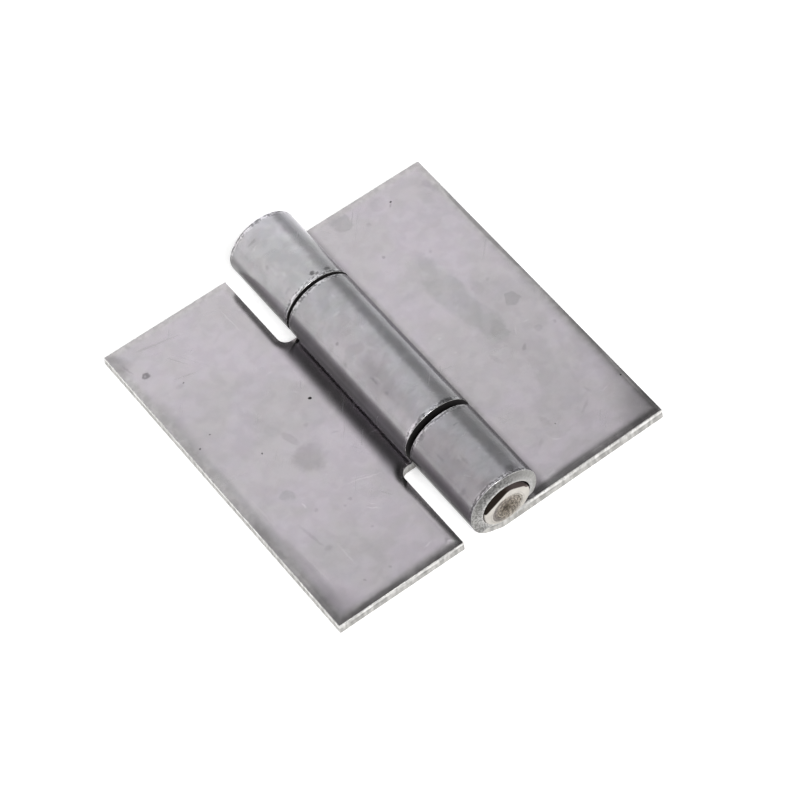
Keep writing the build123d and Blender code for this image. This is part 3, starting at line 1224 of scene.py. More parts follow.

# %% [markdown]
# ## The marks on each leaf
# These are the marks that a careful look finds on this hinge: a dark ring of a stain, blotches,
# clouds, pits and handling scratches. Among them are painted shade and painted light as well: darker
# borders and corners, lighter and darker strips along the near edges, and broad shades and lights on
# the barrels. On a leaf's top a mark starts with x and y, and on the barrel with the angle round the
# pin and y. Half its width, half its length, its turn in degrees, its softness and its tone follow. A
# tone above one is lighter than the steel round it, as in a scratch. The cool marks lean towards grey
# instead of changing tone.

# %% Marks
LEFT_MARKS = [
    (-27.0, 23.1, 0.8, 0.8, 0, 0.5, 0.5), (-27.1, 23.1, 0.3, 0.35, 0, 0.9, 1.5),
    (-28.6, 25.8, 0.3, 1.7, 11, 0.8, 0.85), (-24.0, 18.4, 0.9, 0.6, 0, 0.7, 0.92),
    (-16.1, -4.0, 3.0, 3.2, 0, 0.55, 0.83), (-16.6, 0.4, 0.8, 2.0, 15, 0.4, 0.88),
    (-18.8, 5.0, 1.5, 5.5, 24, 0.5, 0.95), (-13.3, 0.9, 0.6, 0.5, 0, 0.7, 0.9),
    (-24.6, -5.8, 2.2, 2.6, 20, 0.5, 0.95), (-22.8, -7.4, 1.3, 1.2, 0, 0.4, 0.93),
    (-24.2, -15.2, 0.4, 3.3, 8, 0.6, 0.89), (-23.4, -18.4, 0.9, 0.7, 0, 0.8, 0.88),
    (-15.9, -13.6, 0.45, 0.4, 0, 0.6, 0.86), (-17.2, -14.1, 0.35, 0.3, 0, 0.6, 0.9),
    (-16.2, -19.4, 0.35, 0.4, 0, 0.6, 0.88), (-22.5, -26.0, 0.35, 0.35, 0, 0.6, 0.82),
    (-18.3, -26.5, 0.3, 0.35, 0, 0.6, 0.86), (-21.0, -12.1, 0.5, 0.5, 0, 0.8, 0.88),
    (-10.6, -2.8, 0.9, 0.3, -20, 0.8, 0.9), (-9.1, -28.0, 0.4, 0.5, 0, 0.7, 0.82),
    (-11.1, 23.5, 0.16, 4.3, 2, 0.9, 1.1), (-8.7, 24.2, 0.3, 0.3, 0, 0.9, 1.14),
    (-12.1, -12.0, 0.18, 3.9, 73, 0.9, 1.13), (-12.6, -11.3, 0.14, 2.4, 68, 0.9, 1.08),
    (-14.2, -16.9, 0.16, 1.5, 47, 0.9, 1.16), (-13.9, -16.2, 0.14, 0.9, 40, 0.9, 1.1),
    (-22.0, -21.0, 0.2, 3.3, 0, 0.9, 1.1), (-21.9, -10.3, 0.25, 0.7, 0, 0.8, 1.18),
    (-11.8, -26.9, 1.2, 0.2, 8, 0.9, 1.14), (-11.0, 6.6, 0.18, 0.9, 35, 0.9, 1.1),
    (-12.0, 11.9, 0.8, 0.25, 0, 0.9, 1.08), (-27.4, -8.0, 0.2, 4.2, 1, 0.9, 1.06),
    (-26.8, -20.0, 0.2, 5.5, 3, 0.9, 1.07), (-27.2, 2.5, 0.5, 2.2, 8, 0.9, 1.05),
    (-10.0, 4.4, 0.24, 0.24, 0, 0.5, 0.03), (-21.4, 0.9, 0.19, 0.19, 0, 0.5, 0.05),
    (-23.3, 18.6, 0.18, 0.18, 0, 0.5, 0.1), (-25.6, 8.4, 0.17, 0.15, 30, 0.5, 0.2),
    (-28.2, 7.3, 0.22, 0.15, 0, 0.5, 0.2),
    # Painted shade along the left border and in its corners, then painted light and shade along the
    # near edge, beside the near notch and on the left edge:
    (-32.0, 13.0, 5.4, 13.0, 0, 0.35, 0.86), (-31.0, -2.0, 3.4, 16.0, 0, 0.25, 0.88),
    (-31.0, -20.0, 4.5, 15.0, 0, 0.25, 0.84), (-30.5, -29.5, 7.0, 9.0, 0, 0.5, 0.75),
    (-29.5, -20.0, 3.5, 14.0, 0, 0.5, 0.92), (-30.5, 27.5, 3.2, 4.0, 0, 0.6, 0.76),
    (-14.0, -29.8, 8.0, 0.9, 0, 0.6, 1.1), (-8.0, -29.8, 3.6, 1.4, 0, 0.6, 1.75),
    (-7.5, -23.5, 1.5, 9.5, 0, 0.5, 1.7),
    (-23.0, -29.5, 7.5, 0.8, 0, 0.6, 0.66), (-30.0, -22.0, 0.9, 10.0, 0, 0.5, 1.35),
]
LEFT_COOL = [
    (-31.0, -4.0, 3.6, 36.0, 0, 0.3, 0.3), (-22.8, -7.4, 1.4, 1.4, 0, 0.4, 0.4),
    (-23.5, -20.5, 3.0, 6.5, 0, 0.4, 0.6), (-29.5, 28.5, 6.0, 2.5, 0, 0.6, 0.5),
]
RIGHT_MARKS = [
    (13.4, 27.8, 2.0, 1.8, 0, 0.2, 0.9), (20.0, 27.2, 2.2, 1.6, 0, 0.3, 0.95),
    (16.4, 24.7, 0.6, 0.5, 0, 0.7, 0.9), (14.4, 18.3, 0.4, 0.4, 0, 0.6, 0.78),
    (20.7, 14.7, 0.45, 0.4, 0, 0.7, 0.88), (18.4, 13.0, 1.3, 3.6, 0, 0.4, 0.95),
    (18.0, 7.0, 3.0, 4.5, 0, 0.2, 0.95), (18.9, 0.5, 2.6, 5.5, 10, 0.2, 0.94),
    (19.6, -4.0, 1.3, 3.0, 0, 0.3, 0.92), (22.2, 4.8, 1.2, 2.1, -25, 0.4, 0.94),
    (24.4, 5.0, 0.5, 0.5, 0, 0.7, 0.9), (24.7, 0.1, 1.4, 1.4, 0, 0.25, 0.87),
    (24.8, -6.9, 0.8, 0.8, 0, 0.4, 0.91), (20.9, -8.4, 0.9, 0.4, 40, 0.6, 0.82),
    (16.2, -7.5, 0.5, 1.7, 15, 0.5, 0.92), (27.5, -7.5, 0.4, 0.45, 0, 0.7, 0.87),
    (15.0, -20.8, 0.7, 1.7, 12, 0.7, 0.9), (21.3, -22.4, 0.35, 1.9, -55, 0.7, 0.9),
    (12.0, -23.5, 0.4, 1.6, -50, 0.8, 0.93), (23.5, -20.2, 0.4, 1.2, 10, 0.8, 0.92),
    (21.3, 25.6, 0.3, 0.7, -60, 0.9, 0.8), (28.4, 24.5, 0.9, 2.2, 0, 0.6, 0.88),
    (24.0, -4.7, 0.9, 0.2, -10, 0.9, 1.12), (21.8, -5.2, 0.2, 1.2, -35, 0.9, 1.12),
    (12.2, -2.7, 0.35, 0.3, 0, 0.9, 1.12), (11.8, 0.8, 0.4, 0.3, 0, 0.9, 1.12),
    (14.3, -24.3, 0.2, 1.0, 60, 0.9, 1.12), (25.7, -21.8, 1.0, 0.2, 15, 0.9, 1.1),
    (20.2, 11.0, 0.6, 1.8, 12, 0.9, 1.06), (16.6, -1.6, 1.0, 0.8, 0, 0.9, 1.05),
    (19.6, -13.0, 0.5, 0.7, 0, 0.9, 1.07), (23.0, -3.8, 0.9, 1.2, -40, 0.9, 1.06),
    (21.7, 26.2, 0.24, 0.2, 0, 0.5, 0.04), (29.1, -21.3, 0.2, 0.2, 0, 0.5, 0.05),
    (15.9, -22.0, 0.17, 0.17, 0, 0.5, 0.35),
    # Painted shade along the right border and in the near corner, then painted light along the near
    # edge, and painted shade and light along the right edge and at the corner:
    (32.5, 0.0, 5.0, 36.0, 0, 0.4, 0.9), (32.0, -18.0, 5.4, 18.0, 0, 0.6, 0.9),
    (31.0, -31.0, 9.5, 9.0, 0, 0.8, 0.74), (30.5, -24.0, 5.5, 9.5, 0, 0.7, 0.82),
    (17.0, -29.9, 15.0, 0.9, 0, 0.5, 1.6), (8.0, -29.8, 4.0, 1.4, 0, 0.6, 1.35),
    (29.9, 13.0, 0.9, 14.0, 0, 0.4, 0.7), (30.0, -24.0, 0.9, 10.0, 0, 0.4, 1.9),
    (29.0, -30.0, 3.2, 0.9, 0, 0.7, 1.6), (27.5, -28.0, 5.5, 6.0, -35, 0.85, 0.8),
]
RIGHT_COOL = [
    (18.3, 7.0, 3.0, 9.0, 0, 0.3, 0.3), (19.2, -2.5, 2.2, 4.0, 0, 0.3, 0.3),
    (13.4, 27.8, 2.0, 1.8, 0, 0.3, 0.4), (31.5, 0.0, 4.2, 36.0, 0, 0.5, 0.4),
    (24.7, 0.1, 1.4, 1.4, 0, 0.3, 0.5),
]
MIDDLE_MARKS = [
    # The first two are broad painted shade and painted light over the middle knuckle's near half.
    (124, -5.5, 3.4, 9.0, 0, 0.9, 0.85), (98, -5.0, 2.0, 6.0, 0, 0.8, 1.07),
    (132, 4.8, 0.5, 0.4, 0, 0.7, 0.75), (145, 1.6, 0.6, 0.5, 0, 0.8, 0.85),
    (129, -4.0, 0.3, 1.2, 0, 0.7, 0.8), (128, -7.0, 0.45, 0.6, 0, 0.7, 0.84),
    (124, -4.4, 0.25, 1.3, 0, 0.9, 1.14), (104, 8.4, 0.9, 0.35, 0, 0.9, 1.1),
    (89, 11.2, 0.3, 0.7, 0, 0.9, 1.1), (90, 4.0, 0.3, 1.0, 0, 0.9, 1.08),
    (71, -13.9, 1.7, 0.6, 0, 0.6, 0.45), (114, -13.85, 1.5, 0.22, 0, 0.6, 0.5),
    (138, -13.7, 1.6, 0.35, 0, 0.8, 1.15), (100, -9.5, 1.2, 0.5, 0, 0.8, 0.92),
]
OUTER_MARKS = [
    # The first three are broad painted shade on the near knuckle's left and painted light on the far
    # knuckle's right.
    (143, -22.5, 3.8, 10.0, 0, 0.9, 0.84), (70, 22.5, 2.3, 12.0, 0, 0.9, 1.25),
    (33, 22.5, 1.5, 12.0, 0, 0.9, 1.2),
    (89, 16.6, 0.7, 0.5, 0, 0.6, 0.35), (83, 16.2, 0.5, 0.35, 0, 0.6, 0.5),
    (86, 16.5, 0.3, 0.3, 0, 0.9, 1.7),
    (64, 16.3, 0.8, 0.45, 0, 0.6, 0.5), (123, 27.5, 1.2, 0.35, 0, 0.7, 0.82),
    (126, 26.4, 0.9, 0.25, 0, 0.8, 1.12), (128, 21.6, 0.4, 2.0, 0, 0.9, 1.1),
    (131, 22.6, 0.6, 0.5, 0, 0.7, 0.85), (132, 17.2, 0.9, 0.5, 0, 0.8, 0.86),
    (120, 19.6, 0.4, 0.8, 0, 0.9, 1.12), (162, 25.0, 0.3, 1.6, 0, 0.9, 1.14),
    (135, -20.4, 0.35, 1.3, 0, 0.8, 0.86), (87, -18.2, 0.6, 0.2, 0, 0.7, 0.78),
    (112, -24.0, 0.5, 1.1, 0, 0.8, 0.88), (115, -23.0, 0.3, 1.0, 0, 0.9, 1.12),
    (85, -23.6, 0.5, 0.3, 0, 0.9, 1.14), (135, -16.2, 1.0, 0.4, 0, 0.8, 0.76),
    (148, -26.8, 1.4, 0.6, 0, 0.8, 0.82), (126, -29.6, 0.9, 0.3, 0, 0.8, 1.5),
    (142, -29.3, 1.8, 0.5, 0, 0.8, 0.78), (70, -28.8, 0.9, 0.8, 0, 0.8, 0.7),
    (58, -28.0, 0.4, 0.8, 0, 0.9, 1.25), (110, -28.7, 1.6, 0.7, 0, 0.9, 0.86),
]
mark_lists = [LEFT_MARKS, LEFT_COOL, RIGHT_MARKS, RIGHT_COOL, MIDDLE_MARKS, OUTER_MARKS]
print("marks", sum(len(marks) for marks in mark_lists))

# %% [markdown]
# ## Both leaves' skins
# The middle knuckle and the outer ones get different painted shade and light, and the near knuckle
# unlike the far one. Each pair of numbers is for the near and the far side of the middle. In turn
# they say where the left's painted shade begins, as a share of the barrel's radius, how wide its fade
# is, its tones before and after, and the tones of a painted strip on the right, of the painted shine
# past it and of what lies past that. The two short pairs at the end are the tones of the knuckles as
# a whole, painted darker near and lighter far.

# %% Both skins
MIDDLE_SHADING = [
    (-0.85, -0.85), (0.14, 0.14), (0.98, 0.98), (0.34, 0.34),
    (0.78, 0.76), (1.2, 1.22), (0.25, 0.26),
]
OUTER_SHADING = [
    (-0.885, -0.925), (0.11, 0.08), (0.92, 0.92), (0.38, 0.36),
    (0.64, 0.76), (0.98, 0.88), (0.3, 1.25),
]
MIDDLE_NEAR_FAR_LIGHT = (0.97, 1.02)
OUTER_NEAR_FAR_LIGHT = (0.87, 1.19)
single_skin = leaf_skin(
    "swinging_leaf_skin", LEFT_MARKS, LEFT_COOL, MIDDLE_MARKS, MIDDLE_NEAR_FAR_LIGHT, MIDDLE_SHADING
)
double_skin = leaf_skin(
    "fixed_leaf_skin", RIGHT_MARKS, RIGHT_COOL, OUTER_MARKS, OUTER_NEAR_FAR_LIGHT, OUTER_SHADING
)
print("skins", single_skin.name, double_skin.name)

# %% [markdown]
# ## The sheared cuts, 1: shades and lines
# Along a straight sheared edge run a bright line and a dark one, broken here and there. The knuckles'
# ends are painted darker over the top, as shade, apart from a light, crumbled line round the bore.
# Each painted shade over the top is a wide mark, given in millimetres by x, z and its reach, and then
# by its tone.

# %% Shades and lines
END_PAINTED_SHADES = [
    (-1.0, 11.8, 9.5, 0.4), (-4.6, 8.8, 3.4, 0.72), (-3.0, 10.9, 2.2, 0.7), (-4.5, 3.7, 3.8, 0.66),
]
ALL_ALONG = 60 * MM
LINE_WANDERS_PER_METRE = 90
LINE_BREAKS_PER_METRE = 160
LINE_STRENGTH = 0.4


def painted_end_shade(tree, place, light_line):
    """Painted shade over the top of a knuckle's end, as a tone, left off on the light line round the
    bore.
    """
    tone = 1.0
    for x, z, reach, own_tone in END_PAINTED_SHADES:
        one = use_group(tree, placed_mark, **{
            "Place": place, "Centre": (x * MM, -HALF_LENGTH, z * MM), "Turn": 0.0,
            "Reach": (reach * MM, ALL_ALONG, reach * MM), "Softness": 1.0, "Own Tone": own_tone,
        })["Tone"]
        tone = calc(tree, "MULTIPLY", tone, one)
    return calc(
        tree, "ADD", tone, calc(tree, "MULTIPLY", light_line, calc(tree, "SUBTRACT", 1.0, tone))
    )


def edge_lines(tree, place, depth):
    """The bright line and the dark line along a straight cut, broken here and there, as a tone."""
    wander = noise(tree, place, LINE_WANDERS_PER_METRE, 3.0)["Fac"]
    wander = fade(tree, wander, 0.3, 0.7, -0.06, 0.06)
    level = calc(tree, "ADD", depth, wander)
    bright = calc(tree, "MULTIPLY", fade(tree, level, 0.6, 0.7), fade(tree, level, 0.86, 0.78))
    dark = calc(tree, "MULTIPLY", fade(tree, level, 0.44, 0.5), fade(tree, level, 0.6, 0.54))
    strength = fade(tree, noise(tree, place, LINE_BREAKS_PER_METRE, 3.0)["Fac"], 0.35, 0.6)
    bright = calc(tree, "MULTIPLY", bright, LINE_STRENGTH)
    dark = calc(tree, "MULTIPLY", dark, LINE_STRENGTH)
    change = calc(tree, "SUBTRACT", bright, dark)
    return calc(tree, "ADD", 1.0, calc(tree, "MULTIPLY", change, strength))


print("shades over the top of the knuckles' ends", len(END_PAINTED_SHADES))

# %% [markdown]
# ## The sheared cuts, 2: the steel
# A sheared edge shows a smooth burnished band, where the blade went in, and a rougher torn band
# behind it. The point's note of how deep it lies in the sheet tells the bands apart, on the
# straight edges and round the knuckles alike. The straight edges have fine lines where the blade
# dragged. The knuckles' ends are grainy instead, and plainer on their right. Inside the gaps they are
# painted black, as the shade in there with a little oil.

# %% Cut edges
BURNISHED = (0.72, 0.71, 0.695, 1)
TORN = (0.6, 0.59, 0.57, 1)
CUT_PIT = (0.24, 0.23, 0.22, 1)
GAP_SHADE_AND_OIL = (0.024, 0.022, 0.022, 1)
CRUMBLED = 0.85
END_TONE = 0.72
DRAGS_PER_METRE = 1500
DRAG_LENGTHS_PER_METRE = 380
END_GRAINS_PER_METRE = 3000
LUMPS_PER_METRE = 800
CUT_RELIEF = 0.03 * MM
ON_KNUCKLE = (SHEET + 0.1 * MM, SHEET + 0.6 * MM)
PLAIN_SIDE = (-1 * MM, 2.5 * MM)
PLAINNESS = 0.8
INSIDE_GAP = (16.2 * MM, 16.0 * MM)


def cut_grain(tree, place, rolled, plain):
    """The grain of a cut, and the knuckles' grains by themselves. A plain part has no grain."""
    dragged = vector_calc(
        tree, "MULTIPLY", place, (DRAGS_PER_METRE, DRAGS_PER_METRE, DRAG_LENGTHS_PER_METRE)
    )[0]
    drags = noise(tree, dragged, 1.0, 4.0)["Fac"]
    grains = noise(tree, place, END_GRAINS_PER_METRE, 4.0)["Fac"]
    return blend_values(tree, plain, blend_values(tree, rolled, drags, grains), 0.5), grains


def bands_colour(tree, burnished, grains, plain):
    """The burnished and the torn band, with small dark pits in both."""
    colour = blend(tree, burnished, TORN, BURNISHED)
    pits = calc(tree, "SUBTRACT", 0.6, plain)
    pits = calc(tree, "MULTIPLY", fade(tree, grains, 0.38, 0.28), pits)
    return blend(tree, calc(tree, "MAXIMUM", pits, 0.0), colour, CUT_PIT)


def cut_tones(tree, place, depth, masks, crumbs, lumps):
    """The tones of a cut: lumps, grain, the darker knuckles' ends with their painted shade, and what
    runs along its edge.
    """
    rolled, plain, light_line = masks
    coarse = blend_values(tree, plain, fade(tree, lumps, 0.35, 0.65, 0.93, 1.04), 1.0)
    dragged = fade(tree, crumbs, 0.35, 0.65, 0.8, 1.14)
    grainy = fade(tree, crumbs, 0.4, 0.6, 0.62, 1.34)
    end = painted_end_shade(tree, place, light_line)
    return (
        coarse,
        blend_values(tree, rolled, dragged, grainy),
        fade(tree, rolled, 0.0, 1.0, 1.0, END_TONE),
        fade(tree, rolled, 0.0, 1.0, edge_lines(tree, place, depth), end),
    )


def cut_steel():
    """Steel that the shears cut."""
    material = bpy.data.materials.new("sheared_cut")
    material.use_nodes = True
    tree = material.node_tree
    shader = tree.nodes["Principled BSDF"]
    place = add_node(tree, "ShaderNodeTexCoord").outputs["Object"]
    across, along, height = separate(tree, place)
    depth = add_node(tree, "ShaderNodeAttribute", {"attribute_name": "through_sheet"}).outputs["Fac"]
    rolled = fade(tree, height, *ON_KNUCKLE)
    plain = calc(tree, "MULTIPLY", rolled, fade(tree, across, *PLAIN_SIDE, 0.0, PLAINNESS))
    light_line = fade(tree, depth, 0.62, 0.88)
    crumbs, grains = cut_grain(tree, place, rolled, plain)
    lumps = noise(tree, place, LUMPS_PER_METRE, 3.0, 0.5)["Fac"]

    wobble = calc(tree, "MULTIPLY", calc(tree, "SUBTRACT", crumbs, 0.5), 0.5)
    burnished = fade(tree, calc(tree, "ADD", depth, wobble), 0.42, 0.62)
    colour = bands_colour(tree, burnished, grains, plain)
    masks = rolled, plain, light_line
    colour = toned(tree, colour, *cut_tones(tree, place, depth, masks, crumbs, lumps))
    # Painted shade, with a little oil, turns the knuckles' ends black inside the gaps.
    inside_gap = fade(tree, calc(tree, "ABSOLUTE", along), *INSIDE_GAP)
    colour = blend(tree, calc(tree, "MULTIPLY", inside_gap, rolled), colour, GAP_SHADE_AND_OIL)
    fill(tree, shader.inputs["Base Color"], colour)
    crumbled = calc(tree, "MULTIPLY", fade(tree, light_line, 0.0, 1.0, 0.75, 1.0), rolled)
    metallic = calc(tree, "SUBTRACT", 1.0, calc(tree, "MULTIPLY", crumbled, CRUMBLED))
    fill(tree, shader.inputs["Metallic"], metallic)
    roughness = fade(tree, burnished, 0.0, 1.0, 0.55, 0.42)
    roughness = calc(tree, "MAXIMUM", roughness, calc(tree, "MULTIPLY", rolled, 0.6))
    fill(tree, shader.inputs["Roughness"], roughness)
    relief = calc(tree, "ADD", crumbs, blend_values(tree, plain, lumps, 0.5))
    bump = add_node(tree, "ShaderNodeBump", Height=relief, Strength=1.0, Distance=CUT_RELIEF)
    fill(tree, shader.inputs["Normal"], bump.outputs[0])
    return material


sheared_cut = cut_steel()
print("cut", sheared_cut.name)

# %% [markdown]
# ## The burr
# The thin corner where a cut meets the skin catches the light in a broken, sparkling line. It is a
# little brighter than either and has its own coarse grain. On the left of the near knuckle's rim it
# is duller.

# %% Burr
BURR_BRIGHT = (0.7, 0.69, 0.67, 1)
BURR_DULL = (0.36, 0.355, 0.36, 1)
BURR_GRAINS_PER_METRE = 2200
BURR_LEFT_SHINE = 0.25
BURR_LEFT_SIDE = (-1 * MM, -3 * MM)
BURR_LEFT_REACH = 1 * MM
BURR_RELIEF = 0.03 * MM


def burr_steel():
    """The bright, broken corner of a cut."""
    material = bpy.data.materials.new("bright_burr")
    material.use_nodes = True
    tree = material.node_tree
    shader = tree.nodes["Principled BSDF"]
    place = add_node(tree, "ShaderNodeTexCoord").outputs["Object"]
    across, along, height = separate(tree, place)
    grain = noise(tree, place, BURR_GRAINS_PER_METRE, 3.0)["Fac"]
    on_barrel_side = fade(tree, height, SHEET, SHEET + BURR_LEFT_REACH)
    left = calc(tree, "MULTIPLY", on_barrel_side, fade(tree, across, *BURR_LEFT_SIDE))
    near = fade(tree, along, BURR_LEFT_REACH - HALF_LENGTH, -HALF_LENGTH)
    shine = fade(tree, calc(tree, "MULTIPLY", left, near), 0.0, 1.0, 1.0, BURR_LEFT_SHINE)
    shine = calc(tree, "MULTIPLY", shine, fade(tree, grain, 0.42, 0.62))
    colour = blend(tree, shine, BURR_DULL, BURR_BRIGHT)
    fill(tree, shader.inputs["Base Color"], colour)
    fill(tree, shader.inputs["Metallic"], 1.0)
    fill(tree, shader.inputs["Roughness"], 0.42)
    bump = add_node(tree, "ShaderNodeBump", Height=grain, Strength=1.0, Distance=BURR_RELIEF)
    fill(tree, shader.inputs["Normal"], bump.outputs[0])
    return material


bright_burr = burr_steel()
print("burr", bright_burr.name)

# %% [markdown]
# ## The pin's finish, 1: the faced end
# The end is bone-coloured and smooth at the rim, brown and torn inside with a few turned rings and
# one darker arc, and nearly black at the very middle. The torn part lies a little below the axis. How
# far a point is from its middle sets which of these it gets, with a little noise so that no ring is
# perfect.

# %% Faced end
PIN_RIM = (0.75, 0.715, 0.665, 1)
PIN_TORN = (0.41, 0.37, 0.32, 1)
PIN_INNER = (0.27, 0.235, 0.195, 1)
PIN_MIDDLE = (0.1, 0.085, 0.065, 1)
PIN_ARC = (0.2, 0.175, 0.175, 1)
PIN_LUMPS_PER_METRE = 900
TURNED_RING = 0.36 * MM
RING_UNEVENNESS = 0.22 * MM
RINGS_FROM = (0.9 * MM, 1.5 * MM)
RINGS_TO = (3.2 * MM, 2.8 * MM)
TORN_MIDDLE = (0.08 * MM, -0.8 * MM)
BAND_UNEVENNESS = 0.9 * MM
INNER_FROM = (0.2 * MM, 1.2 * MM)
TORN_FROM = (0.9 * MM, 2.2 * MM)
RIM_FROM = (2.25 * MM, 3.15 * MM)
ROUGH_WITHIN = (3.0 * MM, 2.0 * MM)
ARC_FROM = (1.8 * MM, 2.2 * MM)
ARC_TO = (2.9 * MM, 2.5 * MM)
ARC_SIDE = (-0.3 * MM, -1.5 * MM)
ARC_STRENGTH = 0.6
LOW_DOWN = (1.5 * MM, -1.5 * MM)
LOW_TONE = 0.9


def distance_in_end(tree, across, above):
    """How far a point is from the middle, seen from the pin's end."""
    squares = [calc(tree, "MULTIPLY", part, part) for part in (across, above)]
    return calc(tree, "SQRT", calc(tree, "ADD", *squares))


def ring_tone(tree, radius, grain):
    """Turned rings in the torn part, as a tone."""
    nearly_round = calc(tree, "ADD", radius, calc(tree, "MULTIPLY", grain, RING_UNEVENNESS))
    wave = calc(tree, "SINE", calc(tree, "MULTIPLY", nearly_round, 2 * math.pi / TURNED_RING))
    rings = fade(tree, wave, -1.0, 1.0, 0.68, 1.22)
    zone = calc(tree, "MULTIPLY", fade(tree, radius, *RINGS_FROM), fade(tree, radius, *RINGS_TO))
    return calc(tree, "ADD", 1.0, calc(tree, "MULTIPLY", zone, calc(tree, "SUBTRACT", rings, 1.0)))


def torn_colour(tree, radius, grain):
    """The colour of the faced end from its torn middle out to its rim, and where it is torn."""
    unevenness = calc(tree, "MULTIPLY", calc(tree, "SUBTRACT", grain, 0.5), BAND_UNEVENNESS)
    uneven = calc(tree, "ADD", radius, unevenness)
    colour = blend(tree, fade(tree, uneven, *INNER_FROM), PIN_MIDDLE, PIN_INNER)
    colour = blend(tree, fade(tree, uneven, *TORN_FROM), colour, PIN_TORN)
    colour = blend(tree, fade(tree, uneven, *RIM_FROM), colour, PIN_RIM)
    torn = fade(tree, uneven, *ROUGH_WITHIN)
    speckle = calc(tree, "MULTIPLY", torn, fade(tree, grain, 0.36, 0.64, -0.44, 0.44))
    speckle = calc(tree, "ADD", 1.0, speckle)
    return toned(tree, colour, ring_tone(tree, radius, grain), speckle), torn


def end_colour(tree, place, across, above, grain):
    """The whole faced end, with its darker arc, its lumps and its lower part's shade."""
    torn_x, torn_z = TORN_MIDDLE
    from_torn = distance_in_end(
        tree, calc(tree, "SUBTRACT", across, torn_x), calc(tree, "SUBTRACT", above, torn_z)
    )
    colour, torn = torn_colour(tree, from_torn, grain)
    arc = calc(tree, "MULTIPLY", fade(tree, from_torn, *ARC_FROM), fade(tree, from_torn, *ARC_TO))
    arc = calc(tree, "MULTIPLY", arc, fade(tree, across, *ARC_SIDE, 0.0, ARC_STRENGTH))
    lumps = noise(tree, place, PIN_LUMPS_PER_METRE, 3.0)["Fac"]
    low_down = fade(tree, above, *LOW_DOWN, 1.0, LOW_TONE)
    colour = blend(tree, arc, colour, PIN_ARC)
    return toned(tree, colour, fade(tree, lumps, 0.3, 0.7, 0.92, 1.05), low_down), torn


print(f"the end's rings are {TURNED_RING / MM:.2f} mm apart")

# %% [markdown]
# ## The pin's finish, 2: the whole bar
# The pin's side is oily and purple-brown where it leaves the knuckle. Its left side and the two sides
# of its near end that the shear rolled down are painted nearly black as shadow, the cropped sides
# only half as much on the right. The faced end shows inside its rim, and not on those two sides, so a
# mask is measured the same way as they were shaped.

# %% Pin steel
PIN_SIDE = (0.17, 0.135, 0.13, 1)
PIN_SHADOWED = (0.02, 0.015, 0.012, 1)
PIN_GRAINS_PER_METRE = 2600
PIN_RELIEF = 0.12 * MM
FACE_TOP_RADIUS = 3.68 * MM
FACE_LOW_RADIUS = 4.6 * MM
FACE_LEVELS = (-1.0 * MM, 0.9 * MM)
FACE_EDGE = (0.06 * MM, -0.06 * MM)
AT_END = (PIN_HALF_LENGTH - 0.5 * MM, PIN_HALF_LENGTH - 0.4 * MM)
NEAR_SIDE = (1 * MM, -1 * MM)
ROLLED_DOWN = (0.0, 0.12 * MM)
CROP_SHADE_SIDE = (-0.3 * MM, 1.5 * MM)
SHADOWED_SIDE = (0.5 * MM, -1.5 * MM)


def past_crop(tree, across, above):
    """How far a point is past the line where the cropped sides begin."""
    larger = add_node(tree, "ShaderNodeMath", {"operation": "SMOOTH_MAX"})
    for side, (turn, sound) in enumerate(CROPPED_SIDES):
        reach = calc(
            tree, "ADD", calc(tree, "MULTIPLY", across, math.cos(turn)),
            calc(tree, "MULTIPLY", above, math.sin(turn)),
        )
        fill(tree, larger.inputs[side], calc(tree, "SUBTRACT", reach, sound))
    fill(tree, larger.inputs[2], CROPPED_CORNER)
    return larger.outputs[0]


def end_mask(tree, across, along, above, rolled_down):
    """Where the faced end shows: at both ends, inside its rim, and not on the cropped sides."""
    radius = distance_in_end(tree, across, above)
    aside = calc(tree, "MULTIPLY", calc(tree, "ABSOLUTE", across), 0.25)
    level = calc(tree, "SUBTRACT", above, aside)
    rim = fade(tree, level, *FACE_LEVELS, FACE_LOW_RADIUS, FACE_TOP_RADIUS)
    inside = fade(tree, calc(tree, "SUBTRACT", radius, rim), *FACE_EDGE)
    at_end = fade(tree, calc(tree, "ABSOLUTE", along), *AT_END)
    left = calc(tree, "MULTIPLY", inside, calc(tree, "SUBTRACT", 1.0, rolled_down))
    return calc(tree, "MULTIPLY", left, at_end)


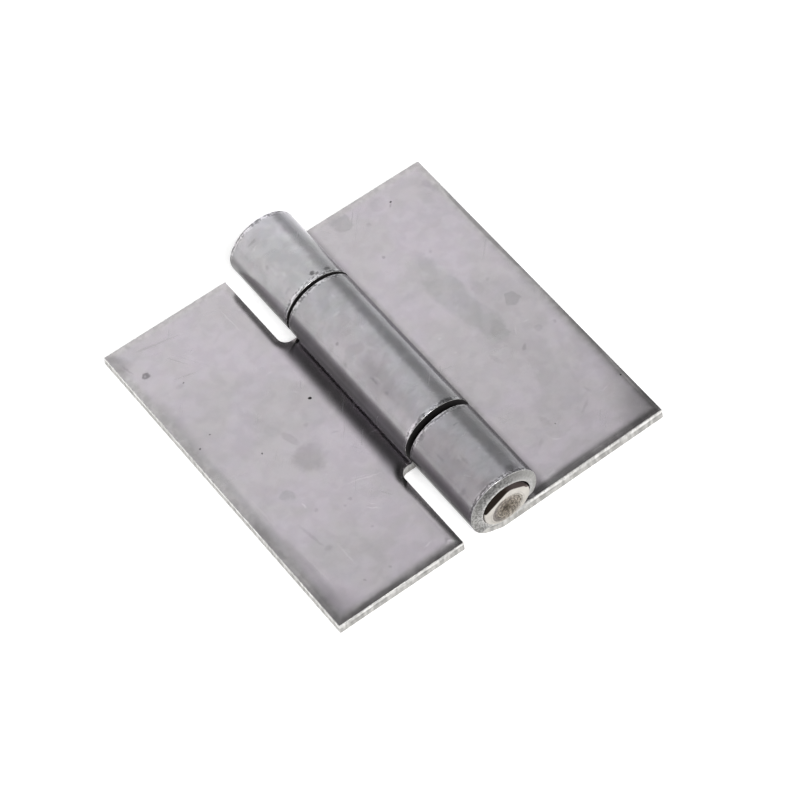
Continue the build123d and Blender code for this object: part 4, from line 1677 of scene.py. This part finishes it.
def pin_steel():
    """Drawn bar with faced ends."""
    material = bpy.data.materials.new("drawn_pin")
    material.use_nodes = True
    tree = material.node_tree
    shader = tree.nodes["Principled BSDF"]
    place = add_node(tree, "ShaderNodeTexCoord").outputs["Object"]
    across, along, height = separate(tree, place)
    above = calc(tree, "SUBTRACT", height, AXIS_HEIGHT)
    grain = noise(tree, place, PIN_GRAINS_PER_METRE, 4.0)["Fac"]
    rolled_down = fade(tree, past_crop(tree, across, above), *ROLLED_DOWN)
    rolled_down = calc(tree, "MULTIPLY", fade(tree, along, *NEAR_SIDE), rolled_down)
    end, torn = end_colour(tree, place, across, above, grain)
    on_end = end_mask(tree, across, along, above, rolled_down)
    # Painted shadow: the cropped sides, fully on the left and half on the right, and the pin's left
    # side turn towards PIN_SHADOWED.
    shaded_crop = calc(tree, "MULTIPLY", rolled_down, fade(tree, across, *CROP_SHADE_SIDE, 1.0, 0.5))
    shadowed = calc(tree, "MAXIMUM", shaded_crop, fade(tree, across, *SHADOWED_SIDE))
    side = blend(tree, shadowed, PIN_SIDE, PIN_SHADOWED)
    fill(tree, shader.inputs["Base Color"], blend(tree, on_end, side, end))
    fill(tree, shader.inputs["Metallic"], 1.0)
    fill(tree, shader.inputs["Roughness"], fade(tree, torn, 0.0, 1.0, 0.4, 0.6))
    relief = calc(tree, "MULTIPLY", grain, fade(tree, torn, 0.0, 1.0, 0.25, 1.0))
    bump = add_node(tree, "ShaderNodeBump", Height=relief, Strength=1.0, Distance=PIN_RELIEF)
    fill(tree, shader.inputs["Normal"], bump.outputs[0])
    return material


drawn_pin = pin_steel()
print("pin steel", drawn_pin.name)

# %% [markdown]
# ## Putting the pieces on their bodies
# Each mesh becomes a piece that rides on its body, so that the hinge can swing, and stands in for
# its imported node. Faces that meet at more than 40 degrees keep a sharp edge between them. The
# normals are weighted by the faces' sizes, which keeps the large flats flat up to their edges.

# %% Pieces
SHARP_ANGLE = math.radians(40)


def add_piece(name, mesh, materials, body, node):
    """Makes a finished piece that rides on a body in place of a node."""
    piece = bpy.data.objects.new(name, mesh)
    bpy.context.scene.collection.objects.link(piece)
    for material in materials:
        mesh.materials.append(material)
    mesh.set_sharp_from_angle(angle=SHARP_ANGLE)
    weighted = piece.modifiers.new("weighted_normals", "WEIGHTED_NORMAL")
    weighted.keep_sharp = True
    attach(piece, body)
    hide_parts(node)
    return piece


sheet_finishes = [sheared_cut, bright_burr]
add_piece(
    "fixed_leaf_sheet", two_knuckle_mesh, [double_skin, *sheet_finishes],
    body="fixed_leaf", node="two_knuckle_leaf",
)
add_piece(
    "swinging_leaf_sheet", single_knuckle_mesh, [single_skin, *sheet_finishes],
    body="swinging_leaf", node="single_knuckle_leaf",
)
add_piece(
    "pin_bar", pin_bar, [drawn_pin], body="fixed_leaf", node="hinge_pin",
)
print("pieces in place")
